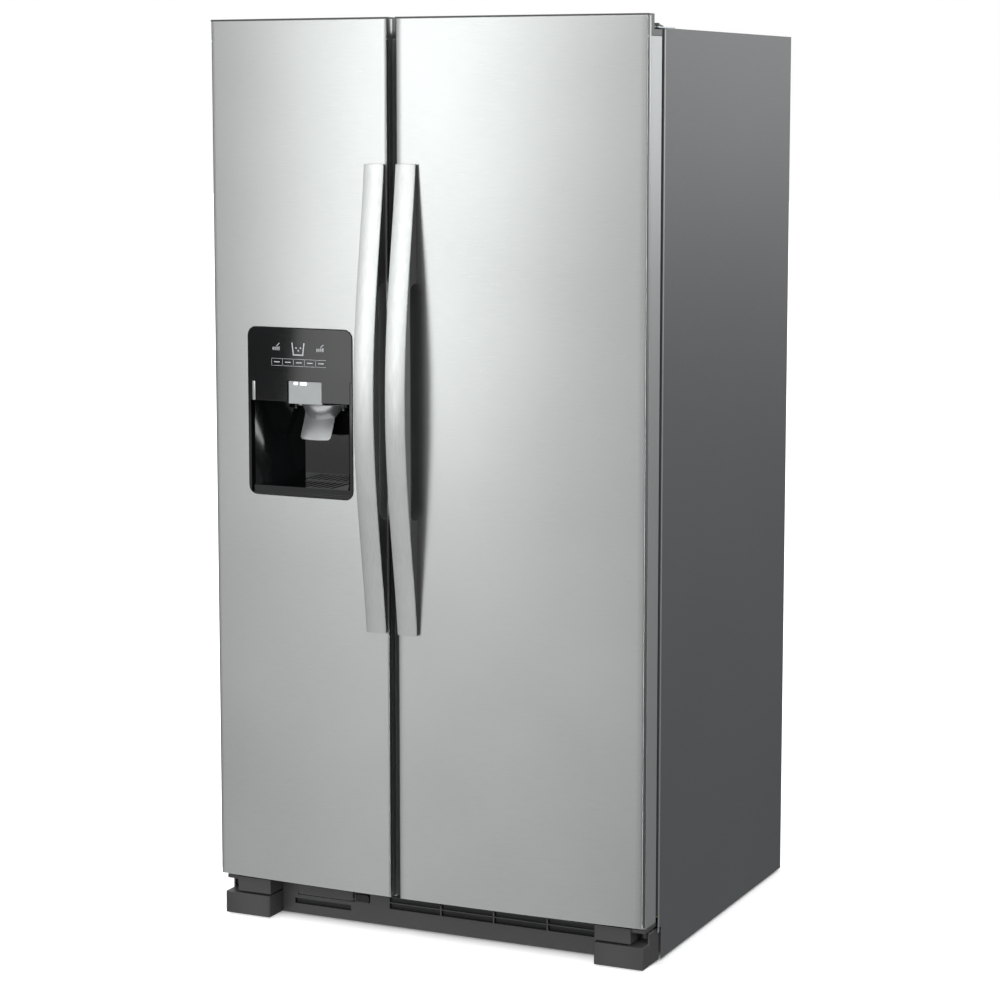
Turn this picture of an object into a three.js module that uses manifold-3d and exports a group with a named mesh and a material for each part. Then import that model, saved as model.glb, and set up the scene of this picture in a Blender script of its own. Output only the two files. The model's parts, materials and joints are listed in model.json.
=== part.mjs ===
// Side-by-side refrigerator: two bowed stainless doors on a painted cabinet over a dark base.
// Millimetres, +Z up, doors facing -Y.  The model is laid out with y = 0 at the outer front
// edges of the doors, and one group then moves it so that the origin is under its middle.
import * as THREE from "three";
import { mergeVertices } from "three/addons/utils/BufferGeometryUtils.js";
import Module from "manifold-3d";

const wasm = await Module();
wasm.setup();

// ---------------------------------------------------------------- driving dimensions
const CABINET_WIDTH = 911; // over the painted sides
const CABINET_DEPTH = 707; // face frame to rear panel
const CABINET_TOP = 1754; // top panel above the floor
const CABINET_BOTTOM = 4; // lower edge of the sides above the floor
const WRAPPER_SHEET = 1.2; // painted outer sheet
const FLANGE_BOTTOM = 92; // lower edge of its folded front
const SIDE_WALL = 46.5; // outside of the cabinet to the inside of a liner
const TOP_WALL = 44.5; // top of the cabinet to the roof of a liner
const REAR_SHEET = 1;
const REAR_WALL = 71; // rear panel to the back of a liner
const MULLION = 55; // between the two compartments
const LINER_SHEET = 2.5;
const COMPARTMENT_FLOOR = 120.5; // compartment floor above the room's floor
const MACHINE_ROOM_DEPTH = 211; // compressor space, in from the rear panel
const MACHINE_ROOM_TOP = 318;
const MACHINE_ROOM_WALL = 29.5; // insulation round the compressor space

const DOOR_GAP = 15.8; // between the two doors
const FREEZER_DOOR_WIDTH = 388.9;
const DOOR_DEPTH = 66; // outer front edge to the back of a door
const DOOR_BOW = 11.3; // how far the two fronts bulge together at the middle
const DOOR_BOTTOM = 87.5;
const DOOR_OVER_CABINET = 21; // top of the stainless skin above the cabinet's top
const SKIN_SHEET = 1;
const SKIN_RETURN = 11; // depth of the skin's folded sides
const FRAME_INSET = 0.6; // the door's side frame stands this far inside the skin's edge
const FRAME_WALL = 2.5;
const CAP_LIP = 28; // depth of the raised front of a top cap
const CAP_STEP = 12; // thickness of the low rear band of a top cap
const CAP_OVER_SKIN = 3.5;
const GASKET_DEPTH = 9.7;
const GASKET_WIDTH = 18;
const GASKET_INSET_HINGE = 15; // from the hinge-side edge of a door
const GASKET_INSET = 4; // from the other edges
const DIKE_DEPTH = 38; // raised rim of a door liner, from the door's back
const DIKE_WALL = 14;
const DIKE_CLEAR_HINGE = 7; // rim to compartment wall at the hinge side
const DIKE_CLEAR_FREE = 18; // rim to compartment wall at the free side, for its swing

const HINGE_INSET = 14.5; // pin axis in from the door's outer edge
const HINGE_Y = 50;
const HINGE_PIN_RADIUS = 5;
const HINGE_PLATE = 2.7;
const HINGE_NOSE = 14; // rounded end of a top hinge's cover, round its pin

const HANDLE_LENGTH = 896;
const HANDLE_BOTTOM = 609;
const HANDLE_WIDTH = 42;
const HANDLE_EDGE_INSET = 4.3; // door edge to handle
const HANDLE_END_STANDOFF = 8; // door face to the strip's front at its ends
const HANDLE_RISE = 48; // how much further the strip stands out at its middle
const HANDLE_GRIP_PLANE = 32; // straight rear edge of the strip's sides
const HANDLE_SHEET = 1.8;
const GRIP_LENGTH = 450; // finger opening
const GRIP_DEPTH = 29;
const GRIP_RADIUS = 22;

const DISPENSER_LEFT = 77.5; // from the freezer door's outer edge
const DISPENSER_WIDTH = 233;
const DISPENSER_BOTTOM = 861;
const DISPENSER_HEIGHT = 328;
const DISPENSER_CORNER = 17;
const DISPENSER_PROUD = 1.5; // in front of the door's face
const RECESS_DEPTH = 100;
const RECESS_STRAIGHT = 10; // the side walls run straight back this far, then close in
const RECESS_TAPER = 62; // each side wall closes in by this much
const RECESS_RIM = 6;
const RECESS_TOP = 1046;
const PANEL_HEIGHT = 102;
const PANEL_THICKNESS = 8;
const TRAY_HEIGHT = 12;
const CHUTE_WIDTH = 74;
const CHUTE_SHIFT = 10.5; // its middle, right of the dispenser's middle
const CHUTE_FRONT = -5;
const CHUTE_WALL = 3;
const PADDLE_WIDTH = 67;
const PADDLE_LENGTH = 66;
const PADDLE_LEAN = 21; // foot of the paddle in front of its pivot
const BULGE_WIDTH = 167; // insulated box behind the dispenser
const BULGE_DEPTH = 84; // from the door's back

const BIN_DEPTH = 104;
const BIN_HEIGHT = 105;
const BIN_WALL = 2.5;
const DRAWER_FRONT = 236; // faces of the drawers
const DRAWER_WALL = 3;
const SHELF_FRONT = 205;
const SHELF_THICKNESS = 12;
const ICE_BIN_HEIGHT = 185;

const FOOT_WIDTH = 101;
const FOOT_OUTSET = 3.5; // cabinet side to the foot cover's side
const FOOT_FRONT = 9.5;
const FOOT_DEPTH = 82;
const FOOT_TOP = 47;
const FOOT_CHEEK_TOP = 67;
const FOOT_CHEEK_FRONT = 42;
const HINGE_BLOCK_FRONT = 14;
const HINGE_BLOCK_BOTTOM = 50;
const HINGE_BLOCK_TOP = 80;
const HINGE_BLOCK_OUTSET = 30.5; // cabinet side to the block's side
const GRILLE_Y = 62;
const GRILLE_SHEET = 3;
const GRILLE_TOP = 79;
const ROLLER_RADIUS = 20;
const ROLLER_WIDTH = 22;
const FILTER_RADIUS = 17;
const FILTER_LENGTH = 234;

const GAP = 0.3; // between pieces that touch
const RUNNING_GAP = 0.6; // round pins and sliding pieces

// ---------------------------------------------------------------- worked-out places
const HALF = CABINET_WIDTH / 2;
const FRAME_Y = DOOR_DEPTH + GASKET_DEPTH + GAP;
const BACK_Y = FRAME_Y + CABINET_DEPTH;
const INNER_HALF = HALF - WRAPPER_SHEET - GAP;
const FREEZER_EDGE = -HALF + FREEZER_DOOR_WIDTH;
const GAP_MIDDLE = FREEZER_EDGE + DOOR_GAP / 2;
const SKIN_TOP = CABINET_TOP + DOOR_OVER_CABINET;
const BODY_TOP = CABINET_TOP - 3 - CAP_STEP;
const FREEZER = { x0: -HALF + SIDE_WALL, x1: GAP_MIDDLE - MULLION / 2, hinge: -1 };
const FRIDGE = { x0: GAP_MIDDLE + MULLION / 2, x1: HALF - SIDE_WALL, hinge: 1 };
const ROOF = CABINET_TOP - TOP_WALL;
const LINER_BACK = BACK_Y - REAR_WALL;
const HUMP_Y = BACK_Y - MACHINE_ROOM_DEPTH - MACHINE_ROOM_WALL;
const HUMP_TOP = MACHINE_ROOM_TOP + MACHINE_ROOM_WALL;
const LINER_FRONT = FRAME_Y + 2 + GAP;
const MACHINE_Y = BACK_Y - MACHINE_ROOM_DEPTH;
const FLOOR_PLATE_TOP = DOOR_BOTTOM + 0.8;
const HINGE_X = HALF - HINGE_INSET;
const BIN_BACK = DOOR_DEPTH + GAP + 6;
const HANDLE_BASE_Y = -DOOR_BOW - GAP;
const EVAPORATOR_COVER_Y = LINER_BACK - 72;
const DISPENSER = { x0: -HALF + DISPENSER_LEFT, x1: -HALF + DISPENSER_LEFT + DISPENSER_WIDTH };
const DISPENSER_MIDDLE = (DISPENSER.x0 + DISPENSER.x1) / 2;
const DISPENSER_TOP = DISPENSER_BOTTOM + DISPENSER_HEIGHT;
const BULGE_TOP = DISPENSER_TOP + 16;
const ICE_BIN_BOTTOM = BULGE_TOP + 10;

// ---------------------------------------------------------------- geometry helpers
function toSolid(geometry) {
  const bare = geometry.clone();
  bare.deleteAttribute("normal");
  bare.deleteAttribute("uv");
  const merged = mergeVertices(bare, 1e-4);
  return new wasm.Manifold(
    new wasm.Mesh({
      numProp: 3,
      vertProperties: merged.attributes.position.array,
      triVerts: new Uint32Array(merged.index.array),
    }),
  );
}

function toGeometry(solid) {
  const mesh = solid.getMesh();
  const geometry = new THREE.BufferGeometry();
  geometry.setAttribute("position", new THREE.BufferAttribute(mesh.vertProperties, 3));
  geometry.setIndex(new THREE.BufferAttribute(mesh.triVerts, 1));
  geometry.computeVertexNormals();
  return geometry;
}

const join = (first, ...others) => others.reduce((sum, part) => sum.add(part), first);
const cut = (first, ...others) => others.reduce((rest, part) => rest.subtract(part), first);

function box(x0, x1, y0, y1, z0, z1) {
  const geometry = new THREE.BoxGeometry(x1 - x0, y1 - y0, z1 - z0);
  geometry.translate((x0 + x1) / 2, (y0 + y1) / 2, (z0 + z1) / 2);
  return toSolid(geometry);
}

function extruded(points, length) {
  const shape = new THREE.Shape(points.map(([a, b]) => new THREE.Vector2(a, b)));
  return new THREE.ExtrudeGeometry(shape, { depth: length, bevelEnabled: false });
}

// A plan outline of [x, y] points, raised from z0 to z1.
function planPrism(points, z0, z1) {
  return toSolid(extruded(points, z1 - z0).translate(0, 0, z0));
}

// A side outline of [y, z] points, carried across from x0 to x1.
function sidePrism(points, x0, x1) {
  const turn = new THREE.Matrix4().makeBasis(
    new THREE.Vector3(0, 1, 0),
    new THREE.Vector3(0, 0, 1),
    new THREE.Vector3(1, 0, 0),
  );
  return toSolid(extruded(points, x1 - x0).applyMatrix4(turn).translate(x0, 0, 0));
}

// A front outline of [x, z] points, carried back from y0 to y1.
function frontPrism(points, y0, y1) {
  const turn = new THREE.Matrix4().makeBasis(
    new THREE.Vector3(1, 0, 0),
    new THREE.Vector3(0, 0, 1),
    new THREE.Vector3(0, -1, 0),
  );
  return toSolid(extruded(points, y1 - y0).applyMatrix4(turn).translate(0, y1, 0));
}

function roundRect(a0, a1, b0, b1, radius, steps = 4) {
  const corners = [
    [a1 - radius, b0 + radius, -Math.PI / 2],
    [a1 - radius, b1 - radius, 0],
    [a0 + radius, b1 - radius, Math.PI / 2],
    [a0 + radius, b0 + radius, Math.PI],
  ];
  return corners.flatMap(([a, b, start]) =>
    Array.from({ length: steps + 1 }, (_, i) => {
      const angle = start + (i / steps) * (Math.PI / 2);
      return [a + radius * Math.cos(angle), b + radius * Math.sin(angle)];
    }),
  );
}

// A rod along "x", "y" or "z" from one end to the other, centred on the other two coordinates.
function rod(axis, from, to, [a, b], radius, sides = 16) {
  const geometry = new THREE.CylinderGeometry(radius, radius, to - from, sides);
  const middle = (from + to) / 2;
  if (axis === "x") return toSolid(geometry.rotateZ(Math.PI / 2).translate(middle, a, b));
  if (axis === "y") return toSolid(geometry.translate(a, middle, b));
  return toSolid(geometry.rotateX(Math.PI / 2).translate(a, b, middle));
}

// A hole's radius whose flats clear a round pin of the given radius.
const boreFor = (radius, sides = 16) => (radius + RUNNING_GAP) / Math.cos(Math.PI / sides);

// ---------------------------------------------------------------- finishes
const finish = (color, roughness, metalness) => ({ color, roughness, metalness });
const FINISHES = {
  stainless: finish(0xc6c9c8, 0.32, 1),
  sidePaint: finish(0x77797a, 0.45, 0.3),
  doorSide: finish(0xb4b7b8, 0.42, 0.5),
  darkPlastic: finish(0x4b4d4f, 0.5, 0),
  blackPlastic: finish(0x17181a, 0.4, 0),
  blackGloss: finish(0x0b0b0c, 0.08, 0),
  rubber: finish(0x2a2b2c, 0.8, 0),
  liner: finish(0xeef0f1, 0.45, 0),
  clearPlastic: finish(0xe3eef2, 0.15, 0),
  silverPlastic: finish(0xb9bcbd, 0.3, 0.4),
  foam: finish(0xe6d6a6, 0.95, 0),
  steel: finish(0x9a9d9f, 0.4, 1),
  blackPaint: finish(0x1d1e20, 0.5, 0.2),
  copper: finish(0xb87548, 0.35, 1),
  board: finish(0x3a3c3e, 0.8, 0),
};

const refrigerator = new THREE.Group();
const YSHIFT = -(BACK_Y + HANDLE_BASE_Y - HANDLE_END_STANDOFF - HANDLE_RISE) / 2;
refrigerator.position.y = YSHIFT;

function place(name, solid, look) {
  const mesh = new THREE.Mesh(toGeometry(solid), new THREE.MeshStandardMaterial(look));
  mesh.name = name;
  refrigerator.add(mesh);
}

// ---------------------------------------------------------------- cabinet
function compartmentOutline(grow, frontY) {
  return [
    [frontY, COMPARTMENT_FLOOR - grow],
    [HUMP_Y + grow, COMPARTMENT_FLOOR - grow],
    [HUMP_Y + grow, HUMP_TOP - grow],
    [LINER_BACK + grow, HUMP_TOP - grow],
    [LINER_BACK + grow, ROOF + grow],
    [frontY, ROOF + grow],
  ];
}

function makeLiner(room, extra) {
  const outer = sidePrism(
    compartmentOutline(LINER_SHEET, LINER_FRONT),
    room.x0 - LINER_SHEET,
    room.x1 + LINER_SHEET,
  );
  const hollow = sidePrism(compartmentOutline(0, LINER_FRONT - 10), room.x0, room.x1);
  return join(cut(outer, hollow), ...extra);
}

// Runners on both walls of a compartment, under a drawer.
function runners(room, z) {
  const reach = 5;
  const bars = [
    [room.x0 - 1, room.x0 + reach],
    [room.x1 - reach, room.x1 + 1],
  ];
  return bars.map(([a, b]) => box(a, b, DRAWER_FRONT + 20, LINER_BACK - 90, z - 6, z));
}

const UPPER_DRAWER_Z = HUMP_TOP + 15;

function makeCabinet() {
  const sides = [-1, 1].map((s) => {
    const [a, b] = s < 0 ? [-HALF, -HALF + WRAPPER_SHEET] : [HALF - WRAPPER_SHEET, HALF];
    const sheet = box(a, b, FRAME_Y, BACK_Y, CABINET_BOTTOM, CABINET_TOP);
    const notch = box(a - 1, b + 1, FRAME_Y - 1, FOOT_FRONT + FOOT_DEPTH + 1, 0, FOOT_CHEEK_TOP + 1);
    return cut(sheet, notch);
  });
  const top = box(-HALF, HALF, FRAME_Y, BACK_Y, CABINET_TOP - WRAPPER_SHEET, CABINET_TOP);
  const flange = box(-HALF, HALF, FRAME_Y, FRAME_Y + 2, FLANGE_BOTTOM, CABINET_TOP);
  const mouths = [FREEZER, FRIDGE].map((room) =>
    box(room.x0, room.x1, FRAME_Y - 1, FRAME_Y + 5, COMPARTMENT_FLOOR, ROOF),
  );
  place("cabinet_wrapper", join(top, cut(flange, ...mouths), ...sides), FINISHES.sidePaint);

  const innerTop = CABINET_TOP - WRAPPER_SHEET - GAP;

  place("freezer_liner", makeLiner(FREEZER, []), FINISHES.liner);
  place("fridge_liner", makeLiner(FRIDGE, runners(FRIDGE, UPPER_DRAWER_Z)), FINISHES.liner);

  const foamOutline = [
    [LINER_FRONT, FLOOR_PLATE_TOP + GAP],
    [MACHINE_Y, FLOOR_PLATE_TOP + GAP],
    [MACHINE_Y, MACHINE_ROOM_TOP],
    [BACK_Y - REAR_SHEET - GAP, MACHINE_ROOM_TOP],
    [BACK_Y - REAR_SHEET - GAP, innerTop],
    [LINER_FRONT, innerTop],
  ];
  const rooms = [FREEZER, FRIDGE].map((room) =>
    sidePrism(
      compartmentOutline(LINER_SHEET + GAP, LINER_FRONT - 5),
      room.x0 - LINER_SHEET - GAP,
      room.x1 + LINER_SHEET + GAP,
    ),
  );
  const foam = cut(sidePrism(foamOutline, -INNER_HALF, INNER_HALF), ...rooms);
  place("insulation_foam", foam, FINISHES.foam);

  const panel = box(-INNER_HALF, INNER_HALF, BACK_Y - REAR_SHEET, BACK_Y, MACHINE_ROOM_TOP + 1, innerTop);
  place("rear_panel", panel, FINISHES.steel);

  const slot = (x, z) => box(x - 4, x + 4, BACK_Y - 5, BACK_Y + 5, z - 32, z + 32);
  const slots = [];
  for (const z of [120, 220]) {
    for (let i = -9; i <= 9; i += 1) slots.push(slot(i * 40, z));
  }
  const glandAt = [-INNER_HALF + 60, 40];
  const inletAt = [INNER_HALF - 70, 40];
  const cover = join(
    box(-INNER_HALF, INNER_HALF, BACK_Y - 2, BACK_Y - GAP, 20, MACHINE_ROOM_TOP),
    rod("y", BACK_Y - 12, BACK_Y - GAP, glandAt, 13),
    rod("y", BACK_Y - 30, BACK_Y - GAP, inletAt, 15, 6),
  );
  const bores = [
    rod("y", BACK_Y - 20, BACK_Y + 5, glandAt, 6, 12),
    rod("y", BACK_Y - 22, BACK_Y + 5, inletAt, 8, 12),
  ];
  place("machine_room_cover", cut(cover, ...slots, ...bores), FINISHES.board);
}

// ---------------------------------------------------------------- base
const ROLLER_X = HALF - 30;
const ROLLER_Y = BACK_Y - 43;
const LEG_X = HALF - 67;
const LEG_Y = 43;
const FILTER_X = -HALF + 205;
const FILTER_Z = 61.2;
const TRAY_Z = 63;

function makeChassis() {
  const edge = INNER_HALF - GAP;
  const parts = [
    box(-edge, edge, LINER_FRONT, MACHINE_Y + 4, FLOOR_PLATE_TOP - 2, FLOOR_PLATE_TOP),
    box(-edge, edge, MACHINE_Y + 1, MACHINE_Y + 4, TRAY_Z - 3, FLOOR_PLATE_TOP),
    box(-edge, edge, MACHINE_Y + 1, BACK_Y - 6, TRAY_Z - 3, TRAY_Z),
    box(-HALF + 10, HALF - 10, FRAME_Y + GAP, FRAME_Y + 12, FOOT_CHEEK_TOP + 2, FLOOR_PLATE_TOP),
  ];
  for (const s of [-1, 1]) {
    const rail = [s * (edge - 22), s * edge].sort((a, b) => a - b);
    parts.push(box(...rail, FOOT_FRONT + FOOT_DEPTH + 4, MACHINE_Y + 2, TRAY_Z - 3, FLOOR_PLATE_TOP));
    for (const cheek of [-1, 1]) {
      const middle = s * ROLLER_X + cheek * (ROLLER_WIDTH / 2 + 3);
      parts.push(box(middle - 1.5, middle + 1.5, ROLLER_Y - 14, ROLLER_Y + 14, 10, TRAY_Z - 1));
    }
  }
  const cradle = box(
    FILTER_X - FILTER_RADIUS - 5,
    FILTER_X + FILTER_RADIUS + 5,
    200,
    200 + FILTER_LENGTH / 2,
    FILTER_Z - FILTER_RADIUS - 5,
    FLOOR_PLATE_TOP - 1,
  );
  const bore = rod("y", FRAME_Y - 5, 210 + FILTER_LENGTH / 2, [FILTER_X, FILTER_Z], boreFor(FILTER_RADIUS, 20), 20);
  const axles = [-1, 1].map((s) =>
    rod("x", s * ROLLER_X - 20, s * ROLLER_X + 20, [ROLLER_Y, ROLLER_RADIUS], boreFor(4, 12), 12),
  );
  place("chassis", cut(join(...parts, cradle), bore, ...axles), FINISHES.blackPaint);
}

function makeRollersAndLegs() {
  for (const [label, s] of [["left", -1], ["right", 1]]) {
    const at = [ROLLER_Y, ROLLER_RADIUS];
    const half = ROLLER_WIDTH / 2;
    const roller = join(
      rod("x", s * ROLLER_X - half, s * ROLLER_X + half, at, ROLLER_RADIUS - GAP, 24),
      rod("x", s * ROLLER_X - 17, s * ROLLER_X + 17, at, 4, 12),
    );
    place(`rear_roller_${label}`, roller, FINISHES.darkPlastic);

    const leg = join(
      rod("z", 0, 8, [s * LEG_X, LEG_Y], 18, 20),
      rod("z", 7, HINGE_BLOCK_BOTTOM + 12, [s * LEG_X, LEG_Y], 6, 12),
    );
    place(`leveling_leg_${label}`, leg, FINISHES.steel);
  }
}

function makeFootCovers() {
  for (const [label, s] of [["left", -1], ["right", 1]]) {
    const span = (inner, outer) =>
      [s * (HALF - outer), s * (HALF - inner)].sort((a, b) => a - b);
    const [x0, x1] = span(FOOT_OUTSET, FOOT_OUTSET + FOOT_WIDTH);
    const rear = FOOT_FRONT + FOOT_DEPTH;
    const outside = planPrism(roundRect(x0, x1, FOOT_FRONT, rear, 3, 2), 3.5, FOOT_TOP);
    const hollow = box(x0 + 3, x1 - 3, FOOT_FRONT + 3, rear + 1, 0, FOOT_TOP - 3);
    const [c0, c1] = span(FOOT_OUTSET, FOOT_OUTSET + 4);
    const cheek = box(c0, c1, FOOT_CHEEK_FRONT, rear - 3, FOOT_TOP - 3, FOOT_CHEEK_TOP);
    const hole = rod("z", FOOT_TOP - 8, FOOT_TOP + 5, [s * LEG_X, LEG_Y], 9, 16);
    place(`foot_cover_${label}`, cut(join(cut(outside, hollow), cheek), hole), FINISHES.darkPlastic);
  }
}

function makeGrille() {
  const end = HALF - FOOT_OUTSET - FOOT_WIDTH - 1.5;
  const y0 = GRILLE_Y;
  const y1 = GRILLE_Y + GRILLE_SHEET;
  const through = (x0, x1, z0, z1) => box(x0, x1, y0 - 2, y1 + 2, z0, z1);
  const fascia = join(
    box(-end, end, y0, y1, 4, GRILLE_TOP),
    box(-end, end, y0, FRAME_Y - 4, 4, 7),
  );
  const louvreLeft = -110;
  const louvreRight = end - 3;
  const bays = 4;
  const bay = (louvreRight - louvreLeft) / bays;
  const cuts = [
    through(FILTER_X - 64.6, FILTER_X + 64.6, 42.6, GRILLE_TOP + 2),
    frontPrism(roundRect(FILTER_X + 66.6, FILTER_X + 98.6, 44.4, 61.6, 6), y0 - 2, y1 + 2),
    through(FILTER_X - 71.5, FILTER_X + 55.5, 24, 35),
  ];
  for (let i = 0; i < bays; i += 1) {
    const a = louvreLeft + i * bay + 1.5;
    const b = louvreLeft + (i + 1) * bay - 1.5;
    cuts.push(through(a, b, 38.5, 50), through(a, b, 52, 61.5), through(a, b, 63.5, 73));
  }
  place("base_grille", cut(fascia, ...cuts), FINISHES.darkPlastic);

  const cap = frontPrism(roundRect(FILTER_X - 62, FILTER_X + 62, 45.2, GRILLE_TOP - 0.5, 6), 58, 66);
  const cartridge = rod("y", 65, 66 + FILTER_LENGTH, [FILTER_X, FILTER_Z], FILTER_RADIUS, 20);
  place("water_filter", join(cap, cartridge), FINISHES.darkPlastic);

  const [bx0, bx1] = [FILTER_X + 67.6, FILTER_X + 97.6];
  const button = join(
    frontPrism(roundRect(bx0, bx1, 45.3, 60.7, 5.6), 59, 68),
    frontPrism(roundRect(bx0 - 2.5, bx1 + 2.5, 42.8, 63.2, 6), y1 + 1, y1 + 4),
  );
  place("filter_button", button, FINISHES.blackPlastic);
}

// ---------------------------------------------------------------- refrigeration
const FAN_Z = 160;
const FAN_Y = MACHINE_Y + 118;
const FAN_RADIUS = 58;

// Blades in a ring round an axis along "x" or "y", joined to a hub.
function fanWheel(axis, from, to, [a, b], radius, hub, blades, twist) {
  const middle = (from + to) / 2;
  const wheel = [rod(axis, from, to, [a, b], hub, 16)];
  for (let i = 0; i < blades; i += 1) {
    const blade = new THREE.BoxGeometry(2.4, radius - hub + 4, 26);
    blade.rotateY(twist).translate(0, (radius + hub - 4) / 2, 0);
    blade.rotateX(Math.PI / 2).rotateY((i / blades) * Math.PI * 2);
    if (axis === "x") wheel.push(toSolid(blade.rotateZ(Math.PI / 2).translate(middle, a, b)));
    else wheel.push(toSolid(blade.translate(a, middle, b)));
  }
  return join(...wheel);
}

function makeMachineRoom() {
  const [cx, cy] = [HALF - 250, FAN_Y];
  const can = new THREE.LatheGeometry(
    [[0, 0], [62, 0], [74, 12], [76, 70], [74, 78], [76, 86], [72, 118], [52, 142], [0, 150]].map(
      ([r, z]) => new THREE.Vector2(r, z),
    ),
    20,
  );
  can.rotateX(Math.PI / 2).translate(cx, cy, TRAY_Z + 10);
  const compressor = join(
    toSolid(can),
    planPrism(roundRect(cx - 95, cx + 95, cy - 60, cy + 60, 12, 2), TRAY_Z + 8, TRAY_Z + 12),
    ...[-1, 1].flatMap((i) =>
      [-1, 1].map((j) => rod("z", TRAY_Z + GAP, TRAY_Z + 9, [cx + i * 80, cy + j * 46], 9, 10)),
    ),
    box(cx + 60, cx + 92, cy - 20, cy + 20, TRAY_Z + 50, TRAY_Z + 95),
  );
  place("compressor", compressor, FINISHES.blackPaint);

  const points = [];
  const passes = 7;
  const [left, right] = [-HALF + 60, -90];
  for (let i = 0; i < passes; i += 1) {
    const z = TRAY_Z + 20 + i * 28;
    const y = MACHINE_Y + (i % 2 ? 150 : 90);
    const ends = i % 2 ? [right, left] : [left, right];
    points.push(new THREE.Vector3(ends[0], y, z), new THREE.Vector3((left + right) / 2, y, z));
    points.push(new THREE.Vector3(ends[1], y, z));
  }
  const curve = new THREE.CatmullRomCurve3(points, false, "catmullrom", 0.35);
  const section = Array.from({ length: 6 }, (_, i) => {
    const angle = (i / 6) * Math.PI * 2;
    return new THREE.Vector2(5 * Math.cos(angle), 5 * Math.sin(angle));
  });
  const tube = new THREE.ExtrudeGeometry(new THREE.Shape(section), {
    steps: 76,
    bevelEnabled: false,
    extrudePath: curve,
  });
  place("condenser_coil", toSolid(tube), FINISHES.copper);

  const shroudX = -20;
  const half = 75;
  const opening = rod("x", shroudX - 5, shroudX + 10, [FAN_Y, FAN_Z], FAN_RADIUS + 4, 28);
  const shroud = join(
    cut(box(shroudX, shroudX + 3, FAN_Y - half, FAN_Y + half, TRAY_Z + GAP, FAN_Z + half), opening),
    box(shroudX, shroudX + 24, FAN_Y - half, FAN_Y - half + 3, TRAY_Z + GAP, FAN_Z + half),
    box(shroudX + 20, shroudX + 24, FAN_Y - half, FAN_Y, FAN_Z - 7, FAN_Z + 7),
    rod("x", shroudX + 20, shroudX + 52, [FAN_Y, FAN_Z], 21, 16),
  );
  place("condenser_fan_shroud", shroud, FINISHES.blackPlastic);
  const wheel = fanWheel("x", shroudX - 12, shroudX + 16, [FAN_Y, FAN_Z], FAN_RADIUS, 17, 5, 0.9);
  place("condenser_fan", wheel, FINISHES.blackPlastic);
}

const FREEZER_MIDDLE = (FREEZER.x0 + FREEZER.x1) / 2;
const EVAPORATOR_FAN_Z = 930;

function makeEvaporator() {
  const y0 = EVAPORATOR_COVER_Y;
  const [x0, x1] = [FREEZER.x0 + 0.6, FREEZER.x1 - 0.6];
  const fanAt = [FREEZER_MIDDLE, EVAPORATOR_FAN_Z];
  const slots = [];
  for (let i = -6; i <= 6; i += 1) {
    const x = FREEZER_MIDDLE + i * 21;
    for (const z of [HUMP_TOP + 40, 1400]) slots.push(box(x - 4, x + 4, y0 - 5, y0 + 8, z - 20, z + 20));
  }
  const plate = cut(
    box(x0, x1, y0, y0 + 3, HUMP_TOP + 4, 1480),
    rod("y", y0 - 5, y0 + 8, fanAt, 52, 28),
    ...slots,
  );
  const struts = [
    box(fanAt[0] - 54, fanAt[0] + 54, y0, y0 + 3, fanAt[1] - 3, fanAt[1] + 3),
    box(fanAt[0] - 3, fanAt[0] + 3, y0, y0 + 3, fanAt[1] - 54, fanAt[1] + 54),
    rod("y", y0, y0 + 7, fanAt, 12, 16),
  ];
  const shaftHole = rod("y", y0 + 2, y0 + 9, fanAt, boreFor(3, 12), 12);
  const foot = box(x0, x1, y0, LINER_BACK - 1, HUMP_TOP + 1, HUMP_TOP + 4);
  place("evaporator_cover", cut(join(plate, foot, ...struts), shaftHole), FINISHES.liner);

  const wheel = join(
    fanWheel("y", y0 + 9, y0 + 30, fanAt, 47, 14, 5, 0.9),
    rod("y", y0 + 4, y0 + 10, fanAt, 3, 12),
  );
  place("evaporator_fan", wheel, FINISHES.blackPlastic);
}

// ---------------------------------------------------------------- doors
const bowY = (x) => -DOOR_BOW * (1 - (x / HALF) ** 2);

// Points along the bowed front from one x to the other, moved back by `inset`.
function bowPoints(from, to, inset, steps = 14) {
  return Array.from({ length: steps + 1 }, (_, i) => {
    const x = from + ((to - from) * i) / steps;
    return [x, bowY(x) + inset];
  });
}

function doorOutline(x0, x1, inset, backY) {
  return [...bowPoints(x0 + inset, x1 - inset, inset), [x1 - inset, backY], [x0 + inset, backY]];
}

function dispenserOutline(grow) {
  return roundRect(
    DISPENSER.x0 - grow,
    DISPENSER.x1 + grow,
    DISPENSER_BOTTOM - grow,
    DISPENSER_TOP + grow,
    DISPENSER_CORNER + grow,
  );
}

// The recess that a glass goes into, as a plan outline that narrows towards the back.
function recessPlan(inset, frontY) {
  const [a, b] = [DISPENSER.x0 + RECESS_RIM + inset, DISPENSER.x1 - RECESS_RIM - inset];
  return [
    [a, frontY],
    [b, frontY],
    [b, RECESS_STRAIGHT],
    [b - RECESS_TAPER, RECESS_DEPTH - inset],
    [a + RECESS_TAPER, RECESS_DEPTH - inset],
    [a, RECESS_STRAIGHT],
  ];
}

// The duct that ice falls through, as a side outline.
function chuteOutline(grow) {
  const low = RECESS_TOP - 4;
  return [
    [CHUTE_FRONT - grow, low],
    [88 + grow, low],
    [88 + grow, low + 40],
    [DOOR_DEPTH + BULGE_DEPTH - 6 + grow, BULGE_TOP - 40],
    [DOOR_DEPTH + BULGE_DEPTH - 6 + grow, BULGE_TOP + 6],
    [DOOR_DEPTH + BULGE_DEPTH - 50 - grow, BULGE_TOP + 6],
    [DOOR_DEPTH + BULGE_DEPTH - 50 - grow, BULGE_TOP - 40],
    [CHUTE_FRONT + 12 - grow, low + 44 + grow],
    [CHUTE_FRONT - grow, low + 44 + grow],
  ];
}

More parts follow.
